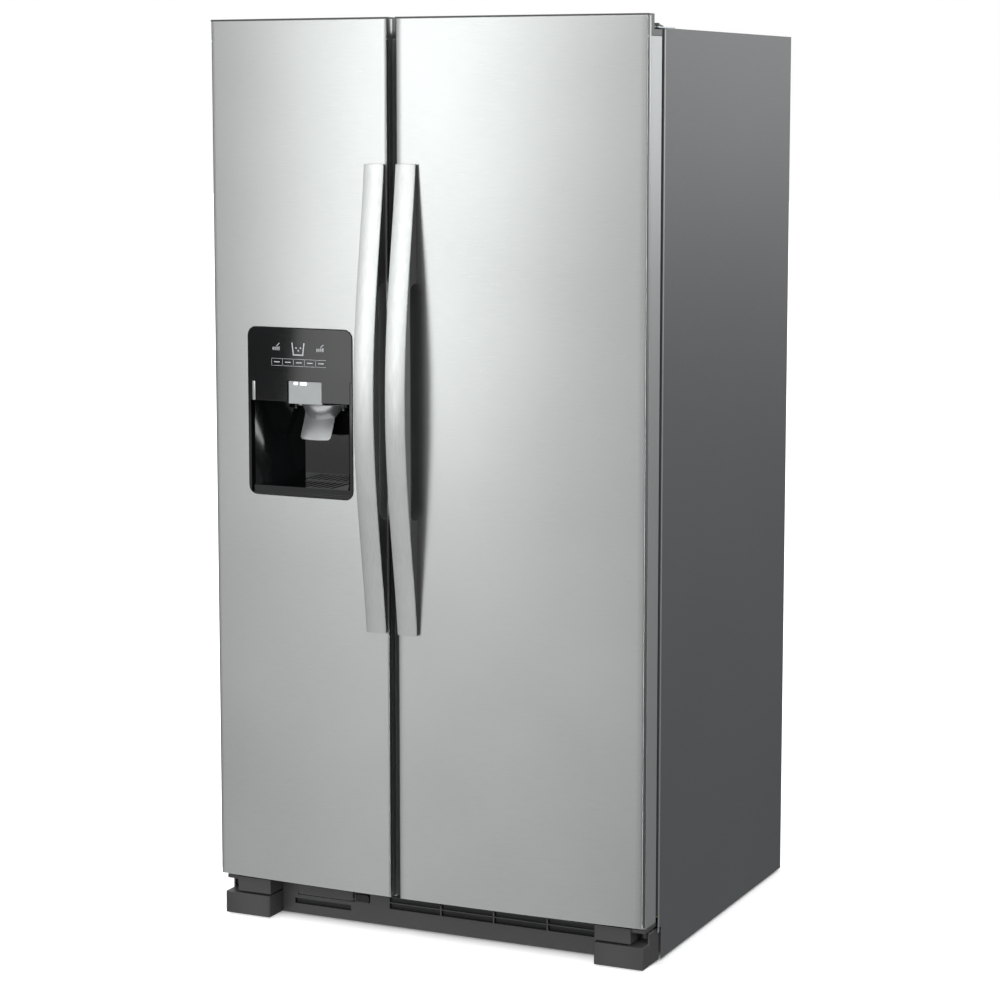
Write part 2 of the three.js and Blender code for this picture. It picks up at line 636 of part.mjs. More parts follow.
const chuteSpan = (grow) => [
  DISPENSER_MIDDLE + CHUTE_SHIFT - CHUTE_WIDTH / 2 - grow,
  DISPENSER_MIDDLE + CHUTE_SHIFT + CHUTE_WIDTH / 2 + grow,
];

function dikeSpan(room) {
  const [hingeClear, freeClear] = [DIKE_CLEAR_HINGE, DIKE_CLEAR_FREE];
  if (room.hinge < 0) return [room.x0 + hingeClear, room.x1 - freeClear];
  return [room.x0 + freeClear, room.x1 - hingeClear];
}

function binSolid(x0, x1, z, height, depth) {
  const y1 = BIN_BACK + depth;
  const outside = planPrism(
    [[x0, BIN_BACK], [x1, BIN_BACK], [x1, y1 - 14], [x1 - 14, y1], [x0 + 14, y1], [x0, y1 - 14]],
    z,
    z + height,
  );
  const w = BIN_WALL;
  const inside = planPrism(
    [
      [x0 + w, BIN_BACK + w],
      [x1 - w, BIN_BACK + w],
      [x1 - w, y1 - 15],
      [x1 - 15, y1 - w],
      [x0 + 15, y1 - w],
      [x0 + w, y1 - 15],
    ],
    z + w,
    z + height + 1,
  );
  return cut(outside, inside);
}

// Open boxes on two upright rails, on the inside of a door.
function makeBinRack(name, room, levels) {
  const [d0, d1] = dikeSpan(room);
  const [x0, x1] = [d0 + DIKE_WALL + 1, d1 - DIKE_WALL - 1];
  const bins = levels.map((z) => binSolid(x0, x1, z, BIN_HEIGHT, BIN_DEPTH));
  const [low, high] = [levels[0], levels[levels.length - 1] + BIN_HEIGHT];
  const rails = [
    box(x0, x0 + 12, BIN_BACK - 2.5, BIN_BACK + 1, low, high),
    box(x1 - 12, x1, BIN_BACK - 2.5, BIN_BACK + 1, low, high),
  ];
  place(name, join(...rails, ...bins), FINISHES.clearPlastic);
}

function makeDoor(name, x0, x1, room) {
  const forFreezer = room.hinge < 0;
  const pinX = room.hinge * HINGE_X;
  const opening = frontPrism(dispenserOutline(GAP), -DOOR_BOW - 20, 40);

  const folded = planPrism(doorOutline(x0, x1, 0, SKIN_RETURN), DOOR_BOTTOM, SKIN_TOP);
  const hollow = planPrism(
    doorOutline(x0, x1, SKIN_SHEET, SKIN_RETURN + 5),
    DOOR_BOTTOM - 5,
    SKIN_TOP + 5,
  );
  const skin = cut(folded, hollow);
  place(`${name}_skin`, forFreezer ? cut(skin, opening) : skin, FINISHES.stainless);

  // The frame round the door's edge, with a window in its lower side for the bottom cap.
  const [fx0, fx1] = [x0 + FRAME_INSET, x1 - FRAME_INSET];
  const frameBottom = DOOR_BOTTOM - 4.5;
  const frame = cut(
    box(fx0, fx1, SKIN_RETURN + 2, DOOR_DEPTH, frameBottom, BODY_TOP),
    box(
      fx0 + FRAME_WALL,
      fx1 - FRAME_WALL,
      SKIN_RETURN,
      DOOR_DEPTH + 5,
      frameBottom + FRAME_WALL,
      BODY_TOP - FRAME_WALL,
    ),
    box(x0 + 8, x1 - 8, SKIN_RETURN + 6, DOOR_DEPTH - 5, DOOR_BOTTOM - 9, DOOR_BOTTOM + 8),
  );
  place(`${name}_frame`, frame, FINISHES.doorSide);

  // The insulation fills the skin's bow and the frame.
  const foamSpan = [DOOR_BOTTOM + 8.5, BODY_TOP - FRAME_WALL - GAP];
  const foamRear = [fx0 + FRAME_WALL + GAP, fx1 - FRAME_WALL - GAP, SKIN_RETURN, DOOR_DEPTH];
  let foam = join(
    planPrism(doorOutline(x0, x1, SKIN_SHEET + GAP, SKIN_RETURN + 1.5), ...foamSpan),
    box(...foamRear, ...foamSpan),
  );
  const [bulge0, bulge1] = [DISPENSER_MIDDLE - BULGE_WIDTH / 2, DISPENSER_MIDDLE + BULGE_WIDTH / 2];
  const bulgeBox = (grow) =>
    box(
      bulge0 - grow,
      bulge1 + grow,
      DOOR_DEPTH - 10,
      DOOR_DEPTH + BULGE_DEPTH + grow,
      DISPENSER_BOTTOM - 16 - grow,
      BULGE_TOP + grow,
    );
  const chuteCut = sidePrism(chuteOutline(GAP), ...chuteSpan(GAP));
  if (forFreezer) foam = cut(join(foam, bulgeBox(0)), housingSolid(GAP), chuteCut);
  place(`${name}_foam`, foam, FINISHES.foam);

  // Inner liner: a plate with a raised rim, and on the freezer the box behind the dispenser.
  const [d0, d1] = dikeSpan(room);
  const outside = DOOR_DEPTH + GAP;
  const [g0, g1] = forFreezer
    ? [x0 + GASKET_INSET_HINGE, x1 - GASKET_INSET]
    : [x0 + GASKET_INSET, x1 - GASKET_INSET_HINGE];
  const [gz0, gz1] = [DOOR_BOTTOM + GASKET_INSET, BODY_TOP - GASKET_INSET];
  const ringIn = GASKET_WIDTH + 0.5;
  const plate = box(g0 + ringIn, g1 - ringIn, outside, outside + 3, gz0 + ringIn, gz1 - ringIn);
  const dikeZ = [COMPARTMENT_FLOOR + 8, ROOF - 8];
  const dike = cut(
    box(d0, d1, outside, DOOR_DEPTH + DIKE_DEPTH, ...dikeZ),
    box(
      d0 + DIKE_WALL,
      d1 - DIKE_WALL,
      outside - 5,
      DOOR_DEPTH + DIKE_DEPTH + 5,
      dikeZ[0] + DIKE_WALL,
      dikeZ[1] - DIKE_WALL,
    ),
  );
  let liner = join(plate, dike);
  if (forFreezer) {
    const behind = box(-HALF, HALF, 0, outside, 0, 3000);
    const shell = cut(bulgeBox(GAP + LINER_SHEET), behind);
    liner = cut(join(liner, shell), bulgeBox(GAP), chuteCut, housingSolid(GAP));
  }
  place(`${name}_liner`, liner, FINISHES.liner);

  const gasket = cut(
    box(g0, g1, outside, outside + GASKET_DEPTH - GAP, gz0, gz1),
    box(g0 + GASKET_WIDTH, g1 - GASKET_WIDTH, 0, 200, gz0 + GASKET_WIDTH, gz1 - GASKET_WIDTH),
  );
  place(`${name}_gasket`, gasket, FINISHES.rubber);

  // Top cap: a raised lip behind the skin, a thin edge over it and a low band at the hinge.
  const topHole = rod("z", BODY_TOP + 3, SKIN_TOP, [pinX, HINGE_Y], boreFor(HINGE_PIN_RADIUS));
  const topCap = join(
    planPrism(doorOutline(x0, x1, SKIN_SHEET + GAP, SKIN_RETURN + 2), BODY_TOP + GAP, SKIN_TOP + 2),
    box(x0 + 0.6, x1 - 0.6, SKIN_RETURN + 1, CAP_LIP, BODY_TOP + GAP, SKIN_TOP + CAP_OVER_SKIN),
    planPrism(doorOutline(x0, x1, 0.4, SKIN_RETURN + 4), SKIN_TOP + GAP, SKIN_TOP + CAP_OVER_SKIN),
    box(x0 + 0.6, x1 - 0.6, SKIN_RETURN + 1, DOOR_DEPTH, BODY_TOP + GAP, BODY_TOP + CAP_STEP),
  );
  place(`${name}_top_cap`, cut(topCap, topHole), FINISHES.darkPlastic);

  const bottomHole = rod("z", 0, DOOR_BOTTOM + 4, [pinX, HINGE_Y], boreFor(HINGE_PIN_RADIUS));
  const bottomCap = box(
    x0 + 8 + GAP,
    x1 - 8 - GAP,
    SKIN_RETURN + 6 + GAP,
    DOOR_DEPTH - 5 - GAP,
    DOOR_BOTTOM - 6,
    DOOR_BOTTOM + 8 - GAP,
  );
  place(`${name}_bottom_cap`, cut(bottomCap, bottomHole), FINISHES.darkPlastic);
}

// The space in the freezer door that the dispenser's housing fills.
function housingSolid(grow) {
  const w = 3 + grow;
  const [a, b] = [DISPENSER.x0 - grow, DISPENSER.x1 + grow];
  const plan = [
    [a, -40],
    [b, -40],
    [b, RECESS_STRAIGHT + 10],
    [b - RECESS_TAPER + 4, RECESS_DEPTH + w],
    [a + RECESS_TAPER - 4, RECESS_DEPTH + w],
    [a, RECESS_STRAIGHT + 10],
  ];
  return planPrism(plan, 0, 3000).intersect(frontPrism(dispenserOutline(grow), -60, 200));
}

// ---------------------------------------------------------------- handles
// How far the strip stands from the door at a share t of the half length from its middle.
function standoff(t) {
  const shape = (1 - t * t) * (1 - 0.57 * t * t);
  return HANDLE_END_STANDOFF + HANDLE_RISE * shape;
}

function handleCurve(inset, from = -1, to = 1, steps = 28) {
  const middle = HANDLE_BOTTOM + HANDLE_LENGTH / 2;
  return Array.from({ length: steps + 1 }, (_, i) => {
    const t = from + ((to - from) * i) / steps;
    const out = Math.max(standoff(t) - inset, 1.5);
    return [HANDLE_BASE_Y - out, middle + (t * HANDLE_LENGTH) / 2];
  });
}

function makeHandle(name, x0) {
  const x1 = x0 + HANDLE_WIDTH;
  const middle = HANDLE_BOTTOM + HANDLE_LENGTH / 2;
  const strip = sidePrism([...handleCurve(0), ...handleCurve(HANDLE_SHEET).reverse()], x0, x1);
  const side = sidePrism(handleCurve(0), x0, x1);
  const grip = HANDLE_BASE_Y - HANDLE_GRIP_PLANE;
  const lens = side.intersect(
    box(x0 - 1, x1 + 1, grip - 100, grip, HANDLE_BOTTOM, HANDLE_BOTTOM + HANDLE_LENGTH),
  );
  const inside = box(x0 + HANDLE_SHEET, x1 - HANDLE_SHEET, -200, 50, 0, 3000);
  place(`${name}_handle_strip`, join(strip, cut(lens, inside)), FINISHES.stainless);

  const gap = HANDLE_SHEET + GAP;
  const base = sidePrism(
    [...handleCurve(gap), [HANDLE_BASE_Y, HANDLE_BOTTOM + HANDLE_LENGTH], [HANDLE_BASE_Y, HANDLE_BOTTOM]],
    x0 + gap,
    x1 - gap,
  );
  const opening = sidePrism(
    roundRect(
      HANDLE_BASE_Y - GRIP_DEPTH,
      HANDLE_BASE_Y + GRIP_RADIUS + 5,
      middle - GRIP_LENGTH / 2,
      middle + GRIP_LENGTH / 2,
      GRIP_RADIUS,
      6,
    ),
    x0 - 5,
    x1 + 5,
  );
  place(`${name}_handle_core`, cut(base, opening), FINISHES.darkPlastic);
}

// ---------------------------------------------------------------- dispenser
const PIVOT_Y = 78;
const PIVOT_Z = 1032;

function makeDispenser() {
  const panelBottom = DISPENSER_TOP - PANEL_HEIGHT;
  const chinX = [DISPENSER.x0 + 18, DISPENSER.x1 - 5];
  const [c0, c1] = chuteSpan(0);
  const arcSlab = (inset, thickness) =>
    planPrism(
      [
        ...bowPoints(DISPENSER.x0, DISPENSER.x1, inset - DISPENSER_PROUD, 8),
        ...bowPoints(DISPENSER.x1, DISPENSER.x0, inset - DISPENSER_PROUD + thickness, 8),
      ],
      DISPENSER_BOTTOM - 20,
      DISPENSER_TOP + 20,
    );
  const face = (grow) =>
    join(
      cut(
        frontPrism(dispenserOutline(grow - 0.4), -60, 60),
        box(-HALF, HALF, -80, 80, 0, panelBottom - grow),
      ),
      box(chinX[0] - grow, c0 - 1 + grow, -60, 60, RECESS_TOP - grow, panelBottom + 1),
      box(c1 + 1 - grow, chinX[1] + grow, -60, 60, RECESS_TOP - grow, panelBottom + 1),
    );
  const slab = arcSlab(0, PANEL_THICKNESS);
  place("dispenser_control_panel", slab.intersect(face(0)), FINISHES.blackGloss);

  const backCut = planPrism(
    [...bowPoints(DISPENSER.x0 - 9, DISPENSER.x1 + 9, -DISPENSER_PROUD, 8), [DISPENSER.x1 + 9, 300], [DISPENSER.x0 - 9, 300]],
    0,
    3000,
  );
  const panelRoom = arcSlab(-20, PANEL_THICKNESS + 20 + GAP).intersect(face(GAP));
  const recess = planPrism(recessPlan(0, -60), DISPENSER_BOTTOM + 5, RECESS_TOP);
  const nozzleRoom = box(c0 - 1, c1 + 1, -60, CHUTE_FRONT, RECESS_TOP - 1, panelBottom);
  const lugs = [-1, 1].map((s) => {
    const [a, b] = [s * 50, s * 55].sort((p, q) => p - q);
    return box(DISPENSER_MIDDLE + a, DISPENSER_MIDDLE + b, 70, 90, PIVOT_Z - 8, RECESS_TOP + 1);
  });
  const pinHoles = rod("x", DISPENSER.x0, DISPENSER.x1, [PIVOT_Y, PIVOT_Z], boreFor(4, 12), 12)
    .intersect(box(DISPENSER_MIDDLE - 60, DISPENSER_MIDDLE + 60, 0, 100, 0, 3000));
  const housing = cut(
    join(
      cut(
        housingSolid(0).intersect(backCut),
        panelRoom,
        recess,
        nozzleRoom,
        box(DISPENSER.x0 + 12, DISPENSER.x1 - 12, 6, RECESS_DEPTH, RECESS_TOP + 3, DISPENSER_TOP - 12),
      ),
      ...lugs,
    ),
    sidePrism(chuteOutline(GAP), ...chuteSpan(GAP)),
    pinHoles,
    box(DISPENSER_MIDDLE - 30, DISPENSER_MIDDLE + 30, -8, 30, panelBottom + 10, DISPENSER_TOP - 20),
  );
  place("dispenser_housing", housing, FINISHES.blackGloss);

  const duct = sidePrism(chuteOutline(0), ...chuteSpan(0)).intersect(
    box(-HALF, HALF, CHUTE_FRONT - 5, 300, RECESS_TOP - 4, BULGE_TOP),
  );
  const shrink = -CHUTE_WALL;
  const air = sidePrism(
    chuteOutline(shrink).map(([y, z]) => [y, z < RECESS_TOP ? z - 10 : z]),
    ...chuteSpan(shrink),
  );
  place("ice_chute", cut(duct, air), FINISHES.silverPlastic);

  // Paddle: a plate that leans forward, a flared throat above it and a pivot rod.
  const half = PADDLE_WIDTH / 2;
  const foot = [PIVOT_Y - PADDLE_LEAN, PIVOT_Z - PADDLE_LENGTH];
  const plate = sidePrism(
    [[PIVOT_Y - 3, PIVOT_Z], foot, [foot[0] + 3, foot[1] - 1], [PIVOT_Y + 3, PIVOT_Z]],
    DISPENSER_MIDDLE - half,
    DISPENSER_MIDDLE + half,
  ).intersect(
    frontPrism(
      roundRect(DISPENSER_MIDDLE - half, DISPENSER_MIDDLE + half, foot[1] - 1, PIVOT_Z + 20, 8),
      0,
      100,
    ),
  );
  const throat = frontPrism(
    [
      [DISPENSER_MIDDLE - half, PIVOT_Z - 24],
      [DISPENSER_MIDDLE + half, PIVOT_Z - 24],
      [DISPENSER_MIDDLE + 44, PIVOT_Z + 2],
      [DISPENSER_MIDDLE - 44, PIVOT_Z + 2],
    ],
    PIVOT_Y - 30,
    PIVOT_Y + 3,
  );
  const throatAir = frontPrism(
    [
      [DISPENSER_MIDDLE - half + 3, PIVOT_Z - 21],
      [DISPENSER_MIDDLE + half - 3, PIVOT_Z - 21],
      [DISPENSER_MIDDLE + 41, PIVOT_Z + 9],
      [DISPENSER_MIDDLE - 41, PIVOT_Z + 9],
    ],
    PIVOT_Y - 60,
    PIVOT_Y + 10,
  );
  const throatKeep = sidePrism(
    [[PIVOT_Y - 30, PIVOT_Z + 5], [PIVOT_Y + 5, PIVOT_Z + 5], [PIVOT_Y + 5, PIVOT_Z - 30], [PIVOT_Y - 6, PIVOT_Z - 30]],
    DISPENSER.x0,
    DISPENSER.x1,
  );
  const pivot = rod("x", DISPENSER_MIDDLE - 57, DISPENSER_MIDDLE + 57, [PIVOT_Y, PIVOT_Z], 4, 12);
  const paddle = join(plate, cut(throat, throatAir).intersect(throatKeep), pivot);
  place("dispenser_paddle", paddle, FINISHES.silverPlastic);

  const trayZ = DISPENSER_BOTTOM + 5 + GAP;
  const tray = planPrism(recessPlan(1, bowY(DISPENSER_MIDDLE) + 8), trayZ, trayZ + TRAY_HEIGHT);
  const bars = [];
  for (let i = -4; i <= 4; i += 1) {
    const x = DISPENSER_MIDDLE + i * 14;
    bars.push(box(x - 3.5, x + 3.5, 12, RECESS_DEPTH - 12, trayZ + 4, trayZ + TRAY_HEIGHT + 5));
  }
  place("drip_tray", cut(tray, ...bars), FINISHES.blackGloss);
}

// ---------------------------------------------------------------- hinges
function makeHinges() {
  for (const [label, s] of [["left", -1], ["right", 1]]) {
    const pin = [s * HINGE_X, HINGE_Y];
    const band = (inner, outer) =>
      [s * (HINGE_X + outer), s * (HINGE_X - inner)].sort((a, b) => a - b);
    const z0 = CABINET_TOP + GAP;
    const plate = join(
      rod("z", z0, z0 + HINGE_PLATE, pin, HINGE_NOSE - 2, 20),
      box(...band(30, 5), HINGE_Y, HINGE_Y + 103, z0, z0 + HINGE_PLATE),
      box(...band(24, -6), HINGE_Y + 100, HINGE_Y + 122, z0, z0 + HINGE_PLATE - 1),
      rod("z", z0, z0 + HINGE_PLATE + 0.6, [s * (HINGE_X - 14), HINGE_Y + 112], 7, 12),
      rod("z", BODY_TOP + 5, z0 + 1, pin, HINGE_PIN_RADIUS),
    );
    place(`top_hinge_${label}`, plate, FINISHES.steel);

    const coverZ = z0 + HINGE_PLATE + GAP;
    const cap = join(
      rod("z", coverZ, coverZ + 5, pin, HINGE_NOSE, 20),
      sidePrism(
        [
          [HINGE_Y, coverZ],
          [HINGE_Y + 46, coverZ],
          [HINGE_Y + 46, coverZ + 1],
          [HINGE_Y + 18, coverZ + 5],
          [HINGE_Y, coverZ + 5],
        ],
        ...band(HINGE_NOSE, 5),
      ),
    );
    place(`hinge_cover_${label}`, cap, FINISHES.darkPlastic);

    const inner = FOOT_OUTSET + FOOT_WIDTH;
    const across = (a, b) => [s * (HALF - a), s * (HALF - b)].sort((p, q) => p - q);
    const [front, low, high] = [HINGE_BLOCK_FRONT, HINGE_BLOCK_BOTTOM, HINGE_BLOCK_TOP];
    const bracket = join(
      box(...across(HINGE_BLOCK_OUTSET, inner), front, FRAME_Y - GAP, low, high),
      box(...across(FOOT_OUTSET, HINGE_BLOCK_OUTSET + 2), front + 5, FRAME_Y - GAP, high - 8, high),
      rod("z", 55, high - 4, pin, 6.5),
      rod("z", high - 4, DOOR_BOTTOM + 2, pin, HINGE_PIN_RADIUS),
    );
    const legHole = rod("z", low - 5, low + 14, [s * LEG_X, LEG_Y], boreFor(6, 12), 12);
    place(`bottom_hinge_${label}`, cut(bracket, legHole), FINISHES.darkPlastic);
  }
}

// ---------------------------------------------------------------- inside
function makeShelfRack(name, room, levels, backY, frontY, look) {
  const [x0, x1] = [room.x0 + 4, room.x1 - 4];
  const shelves = levels.map((z) => box(x0, x1, frontY, backY - 4, z, z + SHELF_THICKNESS));
  const top = levels[levels.length - 1] + SHELF_THICKNESS + 60;
  const rails = [x0 + 60, x1 - 72].map((x) => box(x, x + 12, backY - 9, backY - 1, levels[0] - 20, top));
  place(name, join(...rails, ...shelves), look);
}

// An open box with a taller, thicker front.
function drawerSolid(x0, x1, y0, y1, z0, z1) {
  const w = DRAWER_WALL;
  const tub = cut(
    box(x0, x1, y0, y1, z0, z1 - 15),
    box(x0 + w, x1 - w, y0 + 16, y1 - w, z0 + w, z1 + 5),
  );
  return join(tub, box(x0 - 1, x1 + 1, y0, y0 + 16, z0, z1));
}

function makeInside() {
  const fridgeLevels = [620, 880, 1140, 1400];
  makeShelfRack("fridge_shelf_rack", FRIDGE, fridgeLevels, LINER_BACK, SHELF_FRONT, FINISHES.clearPlastic);
  const freezerLevels = [590, 790, 990];
  makeShelfRack("freezer_shelf_rack", FREEZER, freezerLevels, EVAPORATOR_COVER_Y, SHELF_FRONT, FINISHES.liner);

  const drawer = (room, z0, z1, y1) =>
    drawerSolid(room.x0 + 7, room.x1 - 7, DRAWER_FRONT, y1, z0, z1);
  const low = COMPARTMENT_FLOOR + 3;
  place("crisper_lower", drawer(FRIDGE, low, 325, HUMP_Y - 4), FINISHES.clearPlastic);
  place("crisper_upper", drawer(FRIDGE, UPPER_DRAWER_Z + GAP, 600, LINER_BACK - 25), FINISHES.clearPlastic);
  place("freezer_basket", drawer(FREEZER, low, 325, HUMP_Y - 4), FINISHES.clearPlastic);

  const iceX = [FREEZER.x0 + 24, FREEZER.x1 - 36];
  const iceY = [112, EVAPORATOR_COVER_Y - 10];
  const iceTop = ICE_BIN_BOTTOM + ICE_BIN_HEIGHT;
  const outlet = box(
    DISPENSER_MIDDLE - 28,
    DISPENSER_MIDDLE + 28,
    iceY[0] + 8,
    iceY[0] + 36,
    ICE_BIN_BOTTOM - 5,
    ICE_BIN_BOTTOM + 20,
  );
  const bin = cut(
    box(...iceX, ...iceY, ICE_BIN_BOTTOM, iceTop),
    box(iceX[0] + 4, iceX[1] - 4, iceY[0] + 5, iceY[1] - 4, ICE_BIN_BOTTOM + 4, iceTop + 5),
    outlet,
  );
  place("ice_bin", bin, FINISHES.clearPlastic);

  const makerZ = iceTop + 70;
  const maker = cut(
    join(
      box(FREEZER.x0 + 12, FREEZER.x1 - 60, 420, EVAPORATOR_COVER_Y - 12, makerZ, makerZ + 90),
      box(FREEZER.x0 + 1, FREEZER.x0 + 14, 400, EVAPORATOR_COVER_Y - 6, makerZ + 50, makerZ + 110),
    ),
    box(FREEZER.x0 + 40, FREEZER.x1 - 90, 440, EVAPORATOR_COVER_Y - 80, makerZ + 40, makerZ + 120),
  );
  place("ice_maker", maker, FINISHES.liner);

  makeBinRack("freezer_door_bin_rack", FREEZER, [160, 390, 620, 1480]);
  makeBinRack("fridge_door_bin_rack", FRIDGE, [160, 480, 800, 1120, 1440]);
}

// ---------------------------------------------------------------- assembly
makeCabinet();
makeChassis();
makeRollersAndLegs();
makeFootCovers();
makeGrille();
makeMachineRoom();
makeEvaporator();
makeHinges();
makeDoor("freezer_door", -HALF, FREEZER_EDGE, FREEZER);
makeDoor("fridge_door", FREEZER_EDGE + DOOR_GAP, HALF, FRIDGE);
makeHandle("freezer", FREEZER_EDGE - HANDLE_EDGE_INSET - HANDLE_WIDTH);
makeHandle("fridge", FREEZER_EDGE + DOOR_GAP + HANDLE_EDGE_INSET);
makeDispenser();
makeInside();

export default refrigerator;
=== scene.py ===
"""Looks of a side-by-side refrigerator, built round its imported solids. Millimetres in the
classes, metres in Blender; y = 0 is the plane of the doors' outer front edges."""

import json
import logging
import math
from dataclasses import dataclass
from enum import Enum
from typing import Callable

import bmesh
import bpy
import numpy as np
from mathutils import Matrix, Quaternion, Vector


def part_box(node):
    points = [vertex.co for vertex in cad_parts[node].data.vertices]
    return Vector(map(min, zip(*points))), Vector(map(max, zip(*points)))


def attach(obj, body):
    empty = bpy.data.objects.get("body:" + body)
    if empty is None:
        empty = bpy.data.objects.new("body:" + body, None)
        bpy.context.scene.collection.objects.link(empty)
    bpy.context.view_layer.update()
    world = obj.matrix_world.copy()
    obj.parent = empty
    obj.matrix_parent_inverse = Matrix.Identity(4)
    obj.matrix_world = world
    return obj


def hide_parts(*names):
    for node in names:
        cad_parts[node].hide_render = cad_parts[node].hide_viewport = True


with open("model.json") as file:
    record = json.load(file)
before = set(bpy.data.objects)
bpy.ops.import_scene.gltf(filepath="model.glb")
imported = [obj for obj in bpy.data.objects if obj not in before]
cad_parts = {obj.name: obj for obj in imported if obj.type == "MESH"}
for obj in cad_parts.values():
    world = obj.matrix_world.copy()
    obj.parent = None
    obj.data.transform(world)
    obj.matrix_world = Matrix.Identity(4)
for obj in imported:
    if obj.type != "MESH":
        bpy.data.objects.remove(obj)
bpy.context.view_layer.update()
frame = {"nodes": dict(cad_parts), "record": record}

log = logging.getLogger("refrigerator")
MM = 0.001
REAR_BEHIND_FRONT = 783.0  # back of the rear panel behind the layout's y = 0, in mm
FRONT_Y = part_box("rear_panel")[1][1] * 1000 - REAR_BEHIND_FRONT  # row y of y = 0, in mm
BODY_OF = {n: b for b, ns in frame["record"]["behaviour"]["bodies"].items() for n in ns}
SLOT_OF = {s["node"]: s["material_slot"] for s in frame["record"]["subparts"]}


class Side(Enum):
    """Which of the two doors a piece belongs to; the value is the sign of its hinge's x."""

    FREEZER = -1
    FRIDGE = 1

    @property
    def body(self) -> str:
        """Name of the moving body."""
        return "freezer_door" if self is Side.FREEZER else "fridge_door"


# ------------------------------------------------------------------ nodes and finishes
def linear(code: str) -> tuple[float, float, float, float]:
    """Turns an sRGB hex colour into linear RGBA.

    Args:
        code: six hex digits.

    Returns:
        Linear red, green, blue and an alpha of 1.
    """
    parts = [int(code[i : i + 2], 16) / 255 for i in (0, 2, 4)]
    r, g, b = (c / 12.92 if c <= 0.04045 else ((c + 0.055) / 1.055) ** 2.4 for c in parts)
    return (r, g, b, 1.0)


def add_node(tree, kind: str, values: dict | None = None, links: dict | None = None, **settings):
    """Adds a shader node with its settings, socket values and incoming links.

    Args:
        tree: the node tree.
        kind: the node's type name.
        values: socket name or number to value.
        links: socket name or number to the output that feeds it.
        **settings: the node's own properties.

    Returns:
        The new node.
    """
    node = tree.nodes.new(kind)
    for key, value in settings.items():
        setattr(node, key, value)
    for key, value in (values or {}).items():
        node.inputs[key].default_value = value
    for key, output in (links or {}).items():
        tree.links.new(output, node.inputs[key])
    return node


@dataclass(frozen=True)
class Finish:
    """One real surface: a base and a second tone mixed by a noise of a real size in mm.

    The noise also swings the roughness and raises a bump of `bump` mm.
    """

    name: str
    base: str
    tone: str
    metallic: float = 0.0
    roughness: float = 0.5
    swing: float = 0.05
    grain: tuple[float, float, float] = (1.0, 1.0, 1.0)
    bump: float = 0.02
    broad: float = 220.0
    coat: float = 0.0
    ior: float = 1.5
    transmission: float = 0.0
    glow: float = 0.0

    def build(self) -> bpy.types.Material:
        """Makes the material, or returns it if it is made already."""
        if self.name in bpy.data.materials:
            return bpy.data.materials[self.name]
        material = bpy.data.materials.new(self.name)
        material.use_nodes = True
        tree = material.node_tree
        tree.nodes.clear()
        place = add_node(tree, "ShaderNodeTexCoord").outputs["Object"]
        scale = [1000.0 / g for g in self.grain]
        fine_place = add_node(tree, "ShaderNodeMapping", {"Scale": scale}, {"Vector": place})
        fine = add_node(
            tree,
            "ShaderNodeTexNoise",
            {"Scale": 1.0, "Detail": 3.0, "Roughness": 0.6},
            {"Vector": fine_place.outputs[0]},
        )
        broad = add_node(
            tree,
            "ShaderNodeTexNoise",
            {"Scale": 1000.0 / self.broad, "Detail": 2.0},
            {"Vector": place},
        )
        share = add_node(
            tree,
            "ShaderNodeMath",
            links={0: fine.outputs["Fac"], 1: broad.outputs["Fac"]},
            operation="MULTIPLY",
        )
        spread = add_node(
            tree,
            "ShaderNodeMapRange",
            {"From Min": 0.1, "From Max": 0.42},
            {"Value": share.outputs[0]},
        )
        colour = add_node(
            tree,
            "ShaderNodeMixRGB",
            {"Color1": linear(self.base), "Color2": linear(self.tone)},
            {"Fac": spread.outputs[0]},
        )
        low, high = max(0.02, self.roughness - self.swing), min(1.0, self.roughness + self.swing)
        rough = add_node(
            tree,
            "ShaderNodeMapRange",
            {"From Min": 0.25, "From Max": 0.75, "To Min": low, "To Max": high},
            {"Value": fine.outputs["Fac"]},
        )
        shader = add_node(
            tree,
            "ShaderNodeBsdfPrincipled",
            {
                "Metallic": self.metallic,
                "Coat Weight": self.coat,
                "Coat Roughness": 0.06,
                "Transmission Weight": self.transmission,
            },
            {"Base Color": colour.outputs[0], "Roughness": rough.outputs[0]},
        )
        if not self.metallic:
            shader.inputs["IOR"].default_value = self.ior
        if self.glow:
            shader.inputs["Emission Color"].default_value = linear(self.base)
            shader.inputs["Emission Strength"].default_value = self.glow
        if self.bump:
            relief = add_node(
                tree,
                "ShaderNodeBump",
                {"Strength": 1.0, "Distance": self.bump * MM},
                {"Height": fine.outputs["Fac"]},
            )
            tree.links.new(relief.outputs[0], shader.inputs["Normal"])
        add_node(
            tree, "ShaderNodeOutputMaterial", links={"Surface": shader.outputs[0]}
        )
        return material


# Brushed sheet: the belt runs across the doors, so the grain is 26 mm long in x and 0.45 mm high.
BRUSHED = Finish("brushed_stainless", "c9cccb", "bdc0bf", 1.0, 0.30, 0.03, (26, 3, 0.45), 0.0012, 400)
SATIN = Finish("satin_stainless", "cfd2d1", "c3c6c5", 1.0, 0.33, 0.04, (3, 3, 40), 0.003, 90)
# Baked paint on sheet: a faint orange peel about 3 mm across.
SIDE_PAINT = Finish("baked_grey_paint", "646768", "606364", 0.3, 0.42, 0.04, (3, 3, 3), 0.006, 500)
DOOR_SIDE = Finish("silver_moulding", "b4b7b8", "adb0b1", 0.6, 0.36, 0.04, (1, 1, 1), 0.004, 300)
